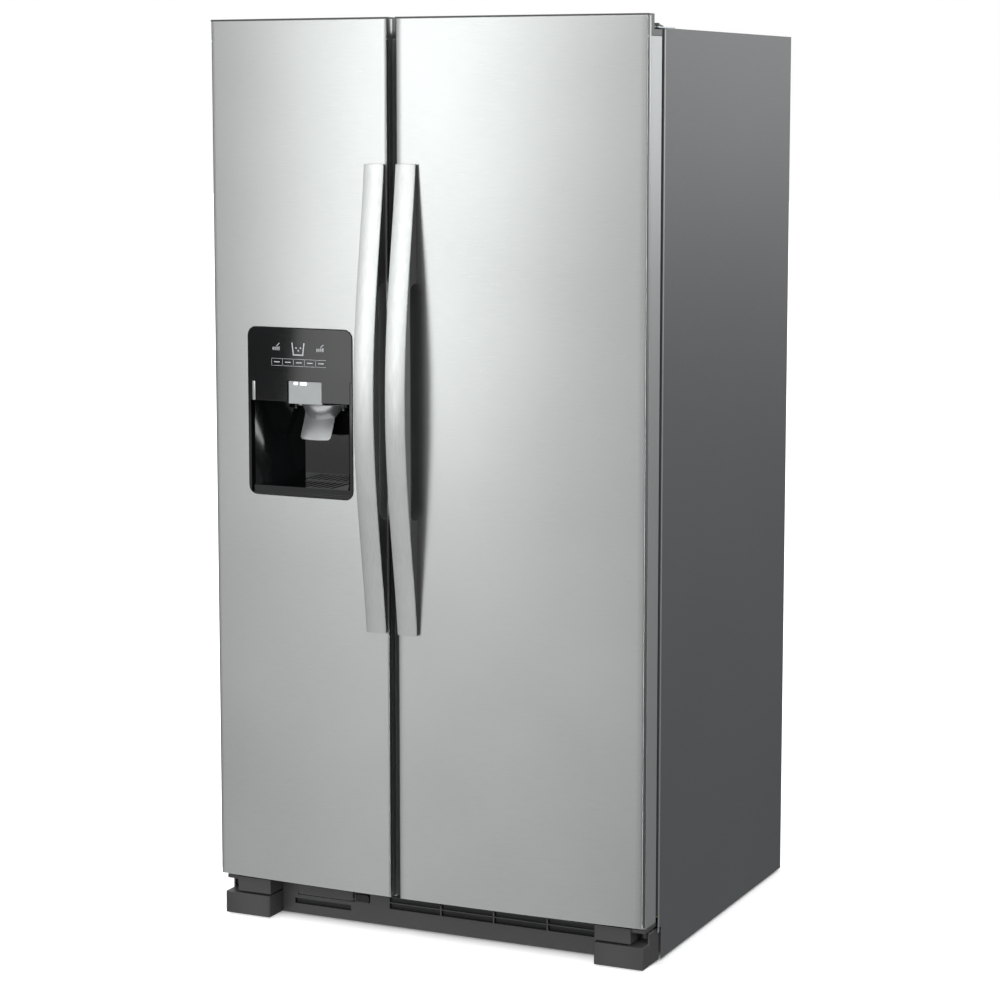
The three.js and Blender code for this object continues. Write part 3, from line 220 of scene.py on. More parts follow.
# Moulded ABS with a spark-eroded grain of about 0.5 mm.
DARK_ABS = Finish("grained_dark_abs", "484848", "424243", 0, 0.38, 0.06, (0.5, 0.5, 0.5), 0.01)
BLACK_ABS = Finish("grained_black_abs", "121313", "0c0d0d", 0, 0.45, 0.07, (0.6, 0.6, 0.6), 0.02)
GLOSS_BLACK = Finish("polished_black_acrylic", "0b0c0d", "101113", 0, 0.07, 0.02, (4, 4, 4), 0, 90)
RUBBER = Finish("gasket_vinyl", "2b2c2e", "232426", 0, 0.7, 0.08, (1, 1, 6), 0.02)
LINER = Finish("white_polystyrene", "f0f2f2", "eaeced", 0, 0.35, 0.05, (2, 2, 2), 0.008, 300)
CLEAR = Finish("clear_san", "f2f8fa", "e9f2f5", 0, 0.08, 0.03, (3, 3, 3), 0, 200, 0, 1.5, 0.9)
CHUTE = Finish("satin_grey_metallised", "a9acad", "9fa2a3", 0.8, 0.34, 0.04, (1, 1, 1), 0.003, 40)
SILVER = Finish("metallised_abs", "c3c5c6", "b6b9ba", 0.7, 0.24, 0.05, (0.8, 0.8, 0.8), 0.004, 60)
FOAM = Finish("rigid_foam", "e4d4a2", "d2bf88", 0, 0.9, 0.05, (1.5, 1.5, 1.5), 0.2)
# Near-black door foam in place of its own tan: painted shade for the dark gaps where the door's foam shows.
DOOR_FOAM_PAINTED_SHADE = Finish("dark_edge_sealer", "2c2d2e", "242526", 0, 0.8, 0.08, (2, 2, 2), 0.05)
ZINC = Finish("zinc_plated_steel", "a9adb0", "8f9498", 1.0, 0.35, 0.12, (6, 6, 6), 0.006, 30)
BLACK_PAINT = Finish("black_enamel", "202224", "17181a", 0.1, 0.38, 0.06, (2, 2, 2), 0.012)
COPPER = Finish("drawn_copper", "b9754a", "a2613a", 1.0, 0.32, 0.08, (2, 2, 20), 0.004, 60)
BOARD = Finish("pressed_fibre_board", "43464a", "383b3e", 0, 0.85, 0.06, (1.2, 1.2, 1.2), 0.06)
PRINT = Finish("pale_print", "d0d4d6", "c2c7ca", 0, 0.4, 0.03, (1, 1, 1), 0)
# Glowing plates on the chute's face: a painted highlight for the LED's reflection there, not a lamp.
PAINTED_GLINT = Finish("lamp_lens", "f4f8ff", "e6edf7", 0, 0.3, 0.03, (2, 2, 2), 0.01, 60, 0, 1.5, 0, 1.2)
SLOT_FINISH = {
    "painted_side": SIDE_PAINT,
    "stainless": BRUSHED,
    "door_side_plastic": DOOR_SIDE,
    "dark_plastic": DARK_ABS,
    "black_plastic": BLACK_ABS,
    "black_gloss": GLOSS_BLACK,
    "silver_plastic": SILVER,
    "gasket_rubber": RUBBER,
    "white_liner": LINER,
    "clear_plastic": CLEAR,
    "foam": FOAM,
    "plain_steel": ZINC,
    "black_paint": BLACK_PAINT,
    "copper_tube": COPPER,
    "rear_board": BOARD,
}


# ------------------------------------------------------------------ mesh tools
def show(name: str, mesh: bpy.types.Mesh, finish: Finish, body: str) -> bpy.types.Object:
    """Puts a mesh in the scene, smooth shaded, dressed and riding on a body.

    Args:
        name: the piece's name.
        mesh: its mesh, in metres.
        finish: the look.
        body: the body it rides on.

    Returns:
        The new object.
    """
    mesh.shade_smooth()
    mesh.set_sharp_from_angle(angle=math.radians(40))
    mesh.materials.clear()
    mesh.materials.append(finish.build())
    piece = bpy.data.objects.new(name, mesh)
    bpy.context.scene.collection.objects.link(piece)
    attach(piece, body)
    log.info("%s: %d faces, %s", name, len(mesh.polygons), finish.name)
    return piece


def rounded(piece: bpy.types.Object, radius: float, segments: int = 3, angle: float = 30) -> None:
    """Rounds the edges sharper than an angle.

    Args:
        piece: the object.
        radius: edge radius in mm.
        segments: facets over each edge.
        angle: smallest edge angle in degrees.
    """
    bevel = piece.modifiers.new("edges", "BEVEL")
    bevel.width = radius * MM
    bevel.segments = segments
    bevel.limit_method = "ANGLE"
    bevel.angle_limit = math.radians(angle)
    bevel.harden_normals = True


def thicken(piece: bpy.types.Object, thickness: float) -> None:
    """Gives a sheet its thickness in mm, away from the side that its faces look to."""
    wall = piece.modifiers.new("sheet", "SOLIDIFY")
    wall.thickness = thickness * MM
    wall.offset = -1


def face_front(mesh: bpy.types.Mesh) -> None:
    """Turns a sheet's faces over when its middle one looks to the rear."""
    if mesh.polygons[len(mesh.polygons) // 2].normal.y > 0:
        mesh.flip_normals()


def softened(
    node: str, radius: float = 0.8, finish: Finish | None = None, merge: bool = True
) -> bpy.types.Object:
    """Copies a solid, merges its triangles into flat faces and rounds its edges.

    Args:
        node: the solid's name.
        radius: edge radius in mm.
        finish: the look, or None for that of the node's material slot.
        merge: whether its triangles are merged; a sheet full of slots keeps them.

    Returns:
        The piece that stands for the solid.
    """
    mesh = frame["nodes"][node].data.copy()
    work = bmesh.new()
    work.from_mesh(mesh)
    bmesh.ops.remove_doubles(work, verts=work.verts, dist=2e-6)
    if merge:
        flat = math.radians(0.04)
        bmesh.ops.dissolve_limit(work, angle_limit=flat, verts=work.verts, edges=work.edges)
    work.to_mesh(mesh)
    work.free()
    piece = show(node + "_look", mesh, finish or SLOT_FINISH[SLOT_OF[node]], BODY_OF[node])
    rounded(piece, radius)
    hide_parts(node)
    return piece


def mesh_from_grid(name: str, points: np.ndarray, wrap: bool, caps: bool) -> bpy.types.Mesh:
    """Makes quads over a grid of points.

    Face (i, j) joins points (i, j), (i, j+1), (i+1, j+1), (i+1, j).

    Args:
        name: the mesh's name.
        points: rows x columns x 3, in layout mm.
        wrap: whether each row closes on itself.
        caps: whether the first and last rows are filled.

    Returns:
        The mesh, in metres, with faces outwards.
    """
    rows, columns = points.shape[:2]
    metres = (points.reshape(-1, 3) + (0, FRONT_Y, 0)) * MM
    i = np.arange(rows - 1)[:, None]
    j = np.arange(columns if wrap else columns - 1)[None, :]
    k = (j + 1) % columns
    quads = np.stack(
        np.broadcast_arrays(i * columns + j, i * columns + k, (i + 1) * columns + k, (i + 1) * columns + j),
        axis=-1,
    ).reshape(-1, 4)
    faces = quads.tolist()
    if caps:
        faces.append(list(range(columns))[::-1])
        faces.append(list(range((rows - 1) * columns, rows * columns)))
    mesh = bpy.data.meshes.new(name)
    mesh.from_pydata(metres.tolist(), [], faces)
    work = bmesh.new()
    work.from_mesh(mesh)
    bmesh.ops.remove_doubles(work, verts=work.verts, dist=1e-6)
    bmesh.ops.recalc_face_normals(work, faces=work.faces)
    work.to_mesh(mesh)
    work.free()
    return mesh


def round_rect(a0: float, a1: float, b0: float, b1: float, radius: float, steps: int = 8) -> np.ndarray:
    """Points round a rectangle with quarter-circle corners.

    Args:
        a0: low end in the first direction.
        a1: high end in the first direction.
        b0: low end in the second direction.
        b1: high end in the second direction.
        radius: corner radius.
        steps: pieces of each corner's arc.

    Returns:
        An (n, 2) array of points, in order.
    """
    turn = np.linspace(0, math.pi / 2, steps + 1)
    starts = np.array([-0.5, 0.0, 0.5, 1.0])[:, None] * math.pi + turn[None, :]
    centres = np.array(
        [
            [a1 - radius, b0 + radius],
            [a1 - radius, b1 - radius],
            [a0 + radius, b1 - radius],
            [a0 + radius, b0 + radius],
        ]
    )
    ring = centres[:, None, :] + radius * np.stack([np.cos(starts), np.sin(starts)], axis=-1)
    return ring.reshape(-1, 2)


def plate(
    name: str,
    outline: Callable[[float], np.ndarray],
    levels: tuple[float, float],
    place: Callable[[np.ndarray, float], np.ndarray],
    edge: float,
    finish: Finish,
    body: str,
) -> bpy.types.Object:
    """A flat piece whose two faces meet its side in round edges.

    The outline shrinks by edge * (1 - sin a) while its level moves by edge * (1 - cos a),
    with a from 0 to a quarter turn at each face.

    Args:
        name: the piece's name.
        outline: inset in mm to (n, 2) points.
        levels: first and last level.
        place: (n, 2) points and a level to (n, 3) layout points.
        edge: edge radius in mm.
        finish: the look.
        body: the body it rides on.

    Returns:
        The piece.
    """
    a = np.linspace(0, math.pi / 2, 4)
    insets = np.concatenate([edge * (1 - np.sin(a)), edge * (1 - np.cos(a))])
    low, high = levels[0] + edge * (1 - np.cos(a)), levels[1] - edge * (1 - np.sin(a))
    heights = np.concatenate([low, high])
    rows = [place(outline(float(d)), float(h)) for d, h in zip(insets, heights)]
    return show(name, mesh_from_grid(name, np.stack(rows), True, True), finish, body)


# ------------------------------------------------------------------ doors
BOW = 11.3
HALF = 455.5


def bow(x: np.ndarray) -> np.ndarray:
    """Front of the doors: a parabola that bulges BOW mm at x = 0 and is 0 at the outer edges."""
    return -BOW * (1 - (x / HALF) ** 2)


def on_bow(points: np.ndarray, out: float) -> np.ndarray:
    """Lays (x, z) points on the bowed front, a distance in front of it."""
    x, z = points[:, 0], points[:, 1]
    return np.stack([x, bow(x) - out, z], axis=-1)


@dataclass
class Door:
    """One door: stainless sheet folded round the front, side frame, caps, seal and liner."""

    side: Side
    left: float
    right: float
    bottom: float = 87.5
    top: float = 1775.0
    fold: float = 4.2
    fold_depth: float = 11.0
    sheet: float = 0.9
    rim: float = 0.7
    margin: float = 34.0
    window: tuple[float, float, float, float] | None = None
    window_radius: float = 17.3

    def build(self) -> None:
        """Makes every piece of the door."""
        self.make_skin()
        name = self.side.body
        softened(f"{name}_frame", 1.2)
        softened(f"{name}_top_cap", 1.2)
        softened(f"{name}_bottom_cap", 1.0)
        softened(f"{name}_gasket", 2.6)
        softened(f"{name}_liner", 1.2)
        # The door's foam is drawn near black as painted shade, not in its own tan.
        softened(f"{name}_foam", 0.5, DOOR_FOAM_PAINTED_SHADE)

    def edge_profile(self, sign: int) -> np.ndarray:
        """Plan points of the fold at one edge, from the rear of the return to the flat front.

        The fold is a quarter of an ellipse, as wide as the fold and as deep as the return.
        """
        x = self.right if sign > 0 else self.left
        front = float(bow(np.array(x - sign * self.fold)))
        turn = np.linspace(0, math.pi / 2, 15)
        arc_x = x - sign * self.fold * (1 - np.cos(turn))
        arc_y = front + (self.fold_depth - front) * (1 - np.sin(turn))
        return np.stack([arc_x, arc_y], axis=-1)

    def make_skin(self) -> None:
        """The front sheet: fold, bowed front and fold swept in z, with the window ruled out.

        Round the window each point is a blend between the window's outline and a rectangle
        that shares its columns and rows with the plain sheet above, below and beside it.
        """
        x0, x1 = self.left + self.fold, self.right - self.fold
        grids: list[np.ndarray] = []
        columns = np.linspace(x0, x1, 41)
        if self.window:
            w0, w1, wz0, wz1 = self.window
            m = self.margin
            outer = (w0 - m, w1 + m, wz0 - m, wz1 + m)
            side = 24
            inner_x = np.linspace(outer[0], outer[1], side + 1)
            left_x, right_x = np.linspace(x0, outer[0], 8), np.linspace(outer[1], x1, 8)
            columns = np.concatenate([left_x[:-1], inner_x, right_x[1:]])
            ring_z = np.linspace(outer[2], outer[3], side + 1)
            low, high = np.linspace(self.bottom, outer[2], 30), np.linspace(outer[3], self.top, 30)
            low = np.insert(low, 1, self.bottom + self.rim)
            high = np.insert(high, -1, self.top - self.rim)
            levels = np.concatenate([low[:-1], ring_z, high[1:]])
            for xs, zs in ((columns, low), (columns, high), (left_x, ring_z), (right_x, ring_z)):
                grids.append(self.sheet_grid(xs, zs))
            grids.append(self.window_ring(outer, inner_x, ring_z))
        else:
            levels = np.linspace(self.bottom, self.top, 80)
            levels = np.insert(levels, (1, -1), (self.bottom + self.rim, self.top - self.rim))
            grids.append(self.sheet_grid(columns, levels))
        for sign in (-1, 1):
            plan = self.edge_profile(sign)
            zs = np.broadcast_to(levels[:, None], (len(levels), len(plan)))
            flat = np.broadcast_to(plan[None], (len(levels), len(plan), 2))
            grids.append(np.concatenate([flat, zs[..., None]], axis=-1))
        self.join_skin(grids)

    @staticmethod
    def sheet_grid(xs: np.ndarray, zs: np.ndarray) -> np.ndarray:
        """A patch of the bowed front over columns and levels."""
        x, z = np.meshgrid(xs, zs)
        return np.stack([x, bow(x), z], axis=-1)

    def window_ring(self, outer: tuple, xs: np.ndarray, zs: np.ndarray) -> np.ndarray:
        """Blend from the window's outline to the outer rectangle, as rows of one loop each."""
        corner = [(outer[1], outer[2]), (outer[1], outer[3]), (outer[0], outer[3]), (outer[0], outer[2])]
        loop = np.concatenate(
            [
                np.stack([np.full(len(zs) - 1, corner[0][0]), zs[:-1]], axis=-1),
                np.stack([xs[::-1][:-1], np.full(len(xs) - 1, corner[1][1])], axis=-1),
                np.stack([np.full(len(zs) - 1, corner[2][0]), zs[::-1][:-1]], axis=-1),
                np.stack([xs[:-1], np.full(len(xs) - 1, corner[3][1])], axis=-1),
            ]
        )
        w0, w1, wz0, wz1 = self.window
        middle = np.array([(w0 + w1) / 2, (wz0 + wz1) / 2])
        ring = round_rect(w0, w1, wz0, wz1, self.window_radius, 16)
        angle = np.arctan2(ring[:, 1] - middle[1], ring[:, 0] - middle[0])
        order = np.argsort(angle)
        want = np.arctan2(loop[:, 1] - middle[1], loop[:, 0] - middle[0])
        inner = np.stack(
            [np.interp(want, angle[order], ring[order, c], period=2 * math.pi) for c in (0, 1)],
            axis=-1,
        )
        share = np.array([0, 0.02, 0.06, 0.14, 0.3, 0.6, 1.0])[:, None, None]
        flat = inner[None] * (1 - share) + loop[None] * share
        points = np.concatenate([flat[..., :1], bow(flat[..., :1]), flat[..., 1:]], axis=-1)
        return np.concatenate([points, points[:, :1]], axis=1)

    def join_skin(self, grids: list[np.ndarray]) -> None:
        """Joins the patches into one sheet and gives it its thickness, inwards."""
        name = f"{self.side.body}_sheet"
        work = bmesh.new()
        for i, grid in enumerate(grids):
            part = mesh_from_grid(f"{name}_{i}", grid, False, False)
            work.from_mesh(part)
            bpy.data.meshes.remove(part)
        bmesh.ops.remove_doubles(work, verts=work.verts, dist=2e-5)
        bmesh.ops.recalc_face_normals(work, faces=work.faces)
        mesh = bpy.data.meshes.new(name)
        work.to_mesh(mesh)
        work.free()
        face_front(mesh)
        piece = show(name, mesh, BRUSHED, self.side.body)
        thicken(piece, self.sheet)
        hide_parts(f"{self.side.body}_skin")


@dataclass
class Handle:
    """Arched bar: a stainless face with lens-shaped sides over a dark core."""

    side: Side
    left: float
    width: float = 42.0
    bottom: float = 609.0
    length: float = 896.0
    end_standoff: float = 8.0
    rise: float = 48.0
    grip_plane: float = 32.0
    sheet: float = 1.8
    base_y: float = -11.6

    def standoff(self, t: np.ndarray) -> np.ndarray:
        """End standoff plus rise * (1 - t^2)(1 - 0.57 t^2), t from -1 to 1 along the bar."""
        return self.end_standoff + self.rise * (1 - t * t) * (1 - 0.57 * t * t)

    def build(self) -> None:
        """Makes the face strip and the core."""
        t = np.linspace(-1, 1, 161)
        front = self.standoff(t)
        back = np.minimum(front - self.sheet, self.grip_plane)
        x0, x1 = self.left, self.left + self.width
        round_edge, groove, flange_inset = 1.1, 0.7, 0.25
        # section as (x, distance behind the front): round edge, face edge, groove, side flange
        turn = np.linspace(0, math.pi / 2, 5)
        edge_x = x1 - round_edge + round_edge * np.sin(turn)
        edge = np.stack([edge_x, round_edge - round_edge * np.cos(turn)], axis=-1)
        tail = np.array(
            [
                [x1, self.sheet],
                [x1 - groove, self.sheet + 0.01],
                [x1 - groove, 2.6],
                [x1 - flange_inset, 2.7],
            ]
        )
        half = np.concatenate([edge, tail])
        depth = front - back
        fixed = np.concatenate([half, half[::-1] * (-1, 1) + (x0 + x1, 0)])
        n = len(half)
        section = np.broadcast_to(fixed[None], (len(t), len(fixed), 2)).copy()
        section[..., 1] = np.minimum(section[..., 1], depth[:, None])
        rear_right = np.stack([np.full_like(depth, x1 - flange_inset), depth], axis=-1)[:, None]
        rear_left = np.stack([np.full_like(depth, x0 + flange_inset), depth], axis=-1)[:, None]
        section = np.concatenate([section[:, :n], rear_right, rear_left, section[:, n:]], axis=1)
        z = self.bottom + (t + 1) / 2 * self.length
        y = self.base_y - front[:, None] + section[..., 1]
        points = np.stack([section[..., 0], y, np.broadcast_to(z[:, None], y.shape)], axis=-1)
        kind = "freezer" if self.side is Side.FREEZER else "fridge"
        mesh = mesh_from_grid(f"{kind}_handle_face", points, True, True)
        piece = show(f"{kind}_handle_face", mesh, SATIN, self.side.body)
        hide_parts(f"{kind}_handle_strip")
        softened(f"{kind}_handle_core", 1.2)


# ------------------------------------------------------------------ dispenser
@dataclass
class Dispenser:
    """Black surround, control panel with plain signs, chute hood, paddle and tray."""

    proud: float = 1.5
    middle: float = -261.5
    pivot_y: float = 78.0
    pivot_z: float = 1032.0
    paddle_half: float = 33.5
    paddle_length: float = 66.0
    lean: float = 27.0
    corner: float = 8.0
    chute_face: float = -5.0
    # Spans and levels of the glowing plates, painted glints on the chute's face.
    lamp_spans: tuple[tuple[float, float], ...] = ((-276, -267), (-262, -247))
    lamp_levels: tuple[float, float] = (1078.5, 1084.5)
    strip_box: tuple[float, float, float, float] = (-368, -361.4, 1046, 1083)
    dot_places: tuple[tuple[float, float], ...] = ((-270, 1149), (-265, 1144), (-260, 1149))
    bar_starts: tuple[float, float] = (-321, -223)
    bar_pitch: float = 4.4
    box_left: float = -324
    box_pitch: float = 24.6

    def build(self) -> None:
        """Makes every piece of the dispenser."""
        softened("dispenser_housing", 0.8)
        softened("dispenser_control_panel", 0.8)
        softened("ice_chute", 0.6, CHUTE)
        softened("drip_tray", 0.8)
        self.make_paddle()
        self.make_hood()
        self.make_lamps()
        self.make_signs()

    def make_paddle(self) -> None:
        """A leaning plate, bowed across, whose lower corners are quarter circles.

        Half width at a height d above the foot: W - r + sqrt(r^2 - (r - d)^2) for d below r.
        """
        foot = self.corner * (1 - np.cos(np.linspace(0, math.pi / 2, 9)))
        rise = np.concatenate([foot, np.linspace(self.corner, self.paddle_length, 14)[1:]])
        short = np.clip(self.corner - rise, 0, None)
        half = self.paddle_half - self.corner + np.sqrt(self.corner**2 - short**2)
        across = np.linspace(-1, 1, 21)
        x = self.middle + half[:, None] * across
        z = np.broadcast_to((self.pivot_z - self.paddle_length + rise)[:, None], x.shape)
        lean = self.lean * (1 - rise / self.paddle_length) ** 1.3
        y = self.pivot_y - lean[:, None] - 4.0 * (1 - across**2)
        mesh = mesh_from_grid("paddle_plate", np.stack([x, y, z], axis=-1), False, False)
        face_front(mesh)
        piece = show("paddle_plate", mesh, SILVER, "dispenser_paddle")
        thicken(piece, 2.6)
        rounded(piece, 0.8)
        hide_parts("dispenser_paddle")
        turn = np.linspace(0, 2 * math.pi, 25)[:-1]
        ring = np.stack([self.pivot_y + 3.9 * np.cos(turn), self.pivot_z + 3.9 * np.sin(turn)], -1)
        rows = [np.column_stack([np.full(24, self.middle + e), ring]) for e in (-57, -56.4, 56.4, 57)]
        rod = mesh_from_grid("paddle_rod", np.stack(rows), True, True)
        show("paddle_rod", rod, SILVER, "dispenser_paddle")

    def make_hood(self) -> None:
        """Half an oval funnel in front of the pivot.

        At a share d of the way down, its half axes are 51 - 20 d^0.7 and 30 - 19 d^1.4.
        """
        down = np.linspace(0, 1, 13)[:, None]
        turn = np.linspace(0.0, math.pi, 33)[None, :]
        reach_x = 51 - 20 * down**0.7
        reach_y = 30 - 19 * down**1.4
        x = self.middle + 7 - 5 * down + reach_x * np.cos(turn)
        y = self.pivot_y - 1 - reach_y * np.sin(turn)
        z = np.broadcast_to(self.pivot_z + 3 - 31 * down + 5 * down * np.cos(turn) ** 2, x.shape)
        mesh = mesh_from_grid("paddle_hood", np.stack([x, y, z], axis=-1), False, False)
        face_front(mesh)
        piece = show("paddle_hood", mesh, SILVER, "dispenser_paddle")
        thicken(piece, 2.2)
        rounded(piece, 0.7)

    def make_lamps(self) -> None:
        """Two glowing plates on the chute's face, painted highlights for the LED's reflection there, and a
        bright strip at the surround's left.
        """
        upright = lambda level: lambda points, out: np.column_stack(
            [points[:, 0], np.full(len(points), level - out), points[:, 1]]
        )
        low, high = self.lamp_levels
        face = upright(self.chute_face)
        for i, (a, b) in enumerate(self.lamp_spans):
            outline = lambda d, a=a, b=b: round_rect(a + d, b - d, low + d, high - d, 2.2 - d, 4)
            plate(f"lamp_{i + 1}", outline, (0.1, 1.6), face, 0.6, PAINTED_GLINT, "freezer_door")
        x0, x1, z0, z1 = self.strip_box
        strip = lambda d: round_rect(x0 + d, x1 - d, z0 + d, z1 - d, 1.4, 4)
        place = lambda points, out: on_bow(points, self.proud + out)
        plate("surround_strip", strip, (0.02, 0.6), place, 0.3, SILVER, "freezer_door")

    def sign(self, name: str, outline: np.ndarray) -> None:
        """A thin printed shape on the control panel, 0.15 mm high."""

        def shape(inset: float) -> np.ndarray:
            middle = outline.mean(axis=0)
            size = np.maximum(np.abs(outline - middle).max(axis=0), 0.1)
            return middle + (outline - middle) * (1 - inset / size)

        place = lambda points, out: on_bow(points, self.proud + out)
        plate(name, shape, (0.02, 0.15), place, 0.04, PRINT, "freezer_door")

    def make_signs(self) -> None:
        """A cup with three dots, two groups of bars with a pointer, and a row of five boxes."""
        cup = [(-275.5, 1136), (-252.5, 1136), (-249.4, 1160.5), (-251.8, 1160.5)]
        cup += [(-254.6, 1138.4), (-273.4, 1138.4), (-276.2, 1160.5), (-278.6, 1160.5)]
        self.sign("sign_cup", np.array(cup, float))
        for i, (x, z) in enumerate(self.dot_places):
            self.sign(f"sign_dot_{i + 1}", round_rect(x, x + 3.2, z, z + 3.2, 1.2, 3))
        for i, x in enumerate(self.bar_starts):
            for j in range(4):
                a = x + self.bar_pitch * j
                self.sign(f"sign_bar_{i}_{j}", round_rect(a, a + 2.2, 1145, 1151 + j * 0.4, 0.5, 2))
            pointer = np.array([(x + 8, 1153.4), (x + 9.6, 1152.8), (x + 16, 1158.6), (x + 15, 1159.6)])
            self.sign(f"sign_pointer_{i}", pointer)
        for i in range(5):
            x0 = self.box_left + i * self.box_pitch
            x1 = self.box_left + (i + 1) * self.box_pitch - 0.8
            for j, (a, b, c, d) in enumerate(
                ((x0, x1, 1115, 1115.6), (x0, x1, 1128.6, 1129.2), (x0, x0 + 0.6, 1116, 1128.2))
            ):
                self.sign(f"sign_box_{i + 1}_{j}", round_rect(a, b, c, d, 0.25, 1))
            self.sign(f"sign_label_{i + 1}", round_rect(x0 + 6, x1 - 5, 1121.4, 1123.2, 0.5, 2))


# ------------------------------------------------------------------ cabinet, base, inside
@dataclass
class Grille:
    """Base fascia with the filter's and the button's openings, a slot and three louvre rows."""

    end: float = 349.5
    front: float = 62.0
    sheet: float = 3.0
    low: float = 4.0
    high: float = 79.0
    filter_x: float = -250.5
    louvre_left: float = -110.0
    bays: int = 4
    rows: tuple[tuple[float, float], ...] = ((38.5, 50.0), (52.0, 61.5), (63.5, 73.0))

    def holes(self) -> np.ndarray:
        """Openings as rows of x0, x1, z0, z1: filter, button, slot, then the louvres."""
        f = self.filter_x
        found = [
            (f - 64.6, f + 64.6, 42.6, self.high),
            (f + 66.6, f + 98.6, 44.4, 61.6),
            (f - 71.5, f + 55.5, 24.0, 35.0),
        ]
        bay = (self.end - 3 - self.louvre_left) / self.bays
        for i in range(self.bays):
            a = self.louvre_left + i * bay + 1.5
            found += [(a, a + bay - 3, z0, z1) for z0, z1 in self.rows]
        return np.array(found)

    def build(self) -> None:
        """Lays a grid over every opening's edge, leaves the openings' cells out and thickens it."""
        holes = self.holes()
        xs = np.unique(np.concatenate([[-self.end, self.end], holes[:, :2].ravel()]).round(3))
        zs = np.unique(np.concatenate([[self.low, self.high], holes[:, 2:].ravel()]).round(3))
        x, z = np.meshgrid(xs, zs)
        points = np.stack([x, np.full_like(x, self.front), z], axis=-1)
        mx, mz = np.meshgrid((xs[:-1] + xs[1:]) / 2, (zs[:-1] + zs[1:]) / 2)
        inside = (
            (mx[..., None] > holes[:, 0])
            & (mx[..., None] < holes[:, 1])
            & (mz[..., None] > holes[:, 2])
            & (mz[..., None] < holes[:, 3])
        ).any(axis=-1)
        mesh = mesh_from_grid("base_grille_fascia", points, False, False)
        work = bmesh.new()
        work.from_mesh(mesh)
        work.faces.ensure_lookup_table()
        gone = [work.faces[int(i)] for i in np.flatnonzero(inside.ravel())]
        bmesh.ops.delete(work, geom=gone, context="FACES")
        if next(iter(work.faces)).normal.y > 0:
            bmesh.ops.reverse_faces(work, faces=work.faces)
        work.to_mesh(mesh)
        work.free()
        piece = show("base_grille_fascia", mesh, DARK_ABS, "cabinet")
        thicken(piece, self.sheet)
        rounded(piece, 0.5, 2)
        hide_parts("base_grille")
        place = lambda points, z: np.column_stack([points, np.full(len(points), z)])
        # Black sheets behind the louvres and the slot are painted shade, standing in for the dark space
        # under the cabinet.
        for name, (a, b, low, high) in (
            ("louvre_screen", (self.louvre_left - 2, self.end - 1, 36, 76)),
            ("slot_screen", (-325, -192, 21, 38)),
        ):
            outline = lambda d, a=a, b=b: round_rect(a + d, b - d, 67 + d, 68.6 - d, 0.3, 1)
            plate(name, outline, (low, high), place, 0.2, BLACK_ABS, "cabinet")
        lip = lambda d: round_rect(-self.end + d, self.end - d, self.front + 2.5, 71.7 - d, 0.4, 1)
        plate("base_grille_lip", lip, (self.low, self.low + 3), place, 0.3, DARK_ABS, "cabinet")


@dataclass
class Cabinet:
    """Painted wrapper with its front beads, liners, rear panel, base and cold circuit."""

    bead_y: tuple[float, float] = (76.2, 83.0)
    bead_z: tuple[float, float] = (60.0, 1751.0)

    def build(self) -> None:
        """Makes every fixed piece."""
        softened("cabinet_wrapper", 0.45)
        softened("freezer_liner", 1.0)
        softened("fridge_liner", 1.0)
        softened("insulation_foam", 0.5)
        softened("rear_panel", 0.4)
        for node in ("machine_room_cover", "condenser_fan_shroud"):
            softened(node, 0.6)
        Grille().build()
        for node in ("chassis", "filter_button", "water_filter"):
            softened(node, 0.8)
        for node in ("compressor", "condenser_coil", "condenser_fan", "evaporator_fan"):
            softened(node, 0.5)
        for end in ("left", "right"):
            softened(f"rear_roller_{end}", 0.8)
            softened(f"leveling_leg_{end}", 0.6)
            softened(f"foot_cover_{end}", 1.3)
            softened(f"bottom_hinge_{end}", 1.4)
            softened(f"top_hinge_{end}", 0.5)
            softened(f"hinge_cover_{end}", 0.45)
        softened("evaporator_cover", 0.4, merge=False)
        self.make_beads()

    def make_beads(self) -> None:
        """The rolled front edge of each side: a flat half oval swept in z."""
        turn = np.linspace(0, math.pi, 9)
        for end, sign in (("left", -1), ("right", 1)):
            middle, half = sum(self.bead_y) / 2, (self.bead_y[1] - self.bead_y[0]) / 2
            y = middle - half * np.cos(turn)
            x = sign * (HALF - 0.4 + 0.9 * np.sin(turn))
            loop = np.stack([x, y], axis=-1)
            rows = [np.column_stack([loop, np.full(len(loop), z)]) for z in self.bead_z]
            mesh = mesh_from_grid(f"cabinet_bead_{end}", np.stack(rows), True, True)
            piece = show(f"cabinet_bead_{end}", mesh, DOOR_SIDE, "cabinet")


@dataclass
class Interior:
    """Shelves, drawers, bins and ice maker."""

    def build(self) -> None:
        """Makes every inside piece."""
        for node in ("fridge_shelf_rack", "freezer_shelf_rack", "ice_maker", "ice_bin"):
            softened(node, 1.2)
        for node in ("crisper_lower", "crisper_upper", "freezer_basket"):
            softened(node, 1.0)
        for node in ("freezer_door_bin_rack", "fridge_door_bin_rack"):
            softened(node, 0.8)


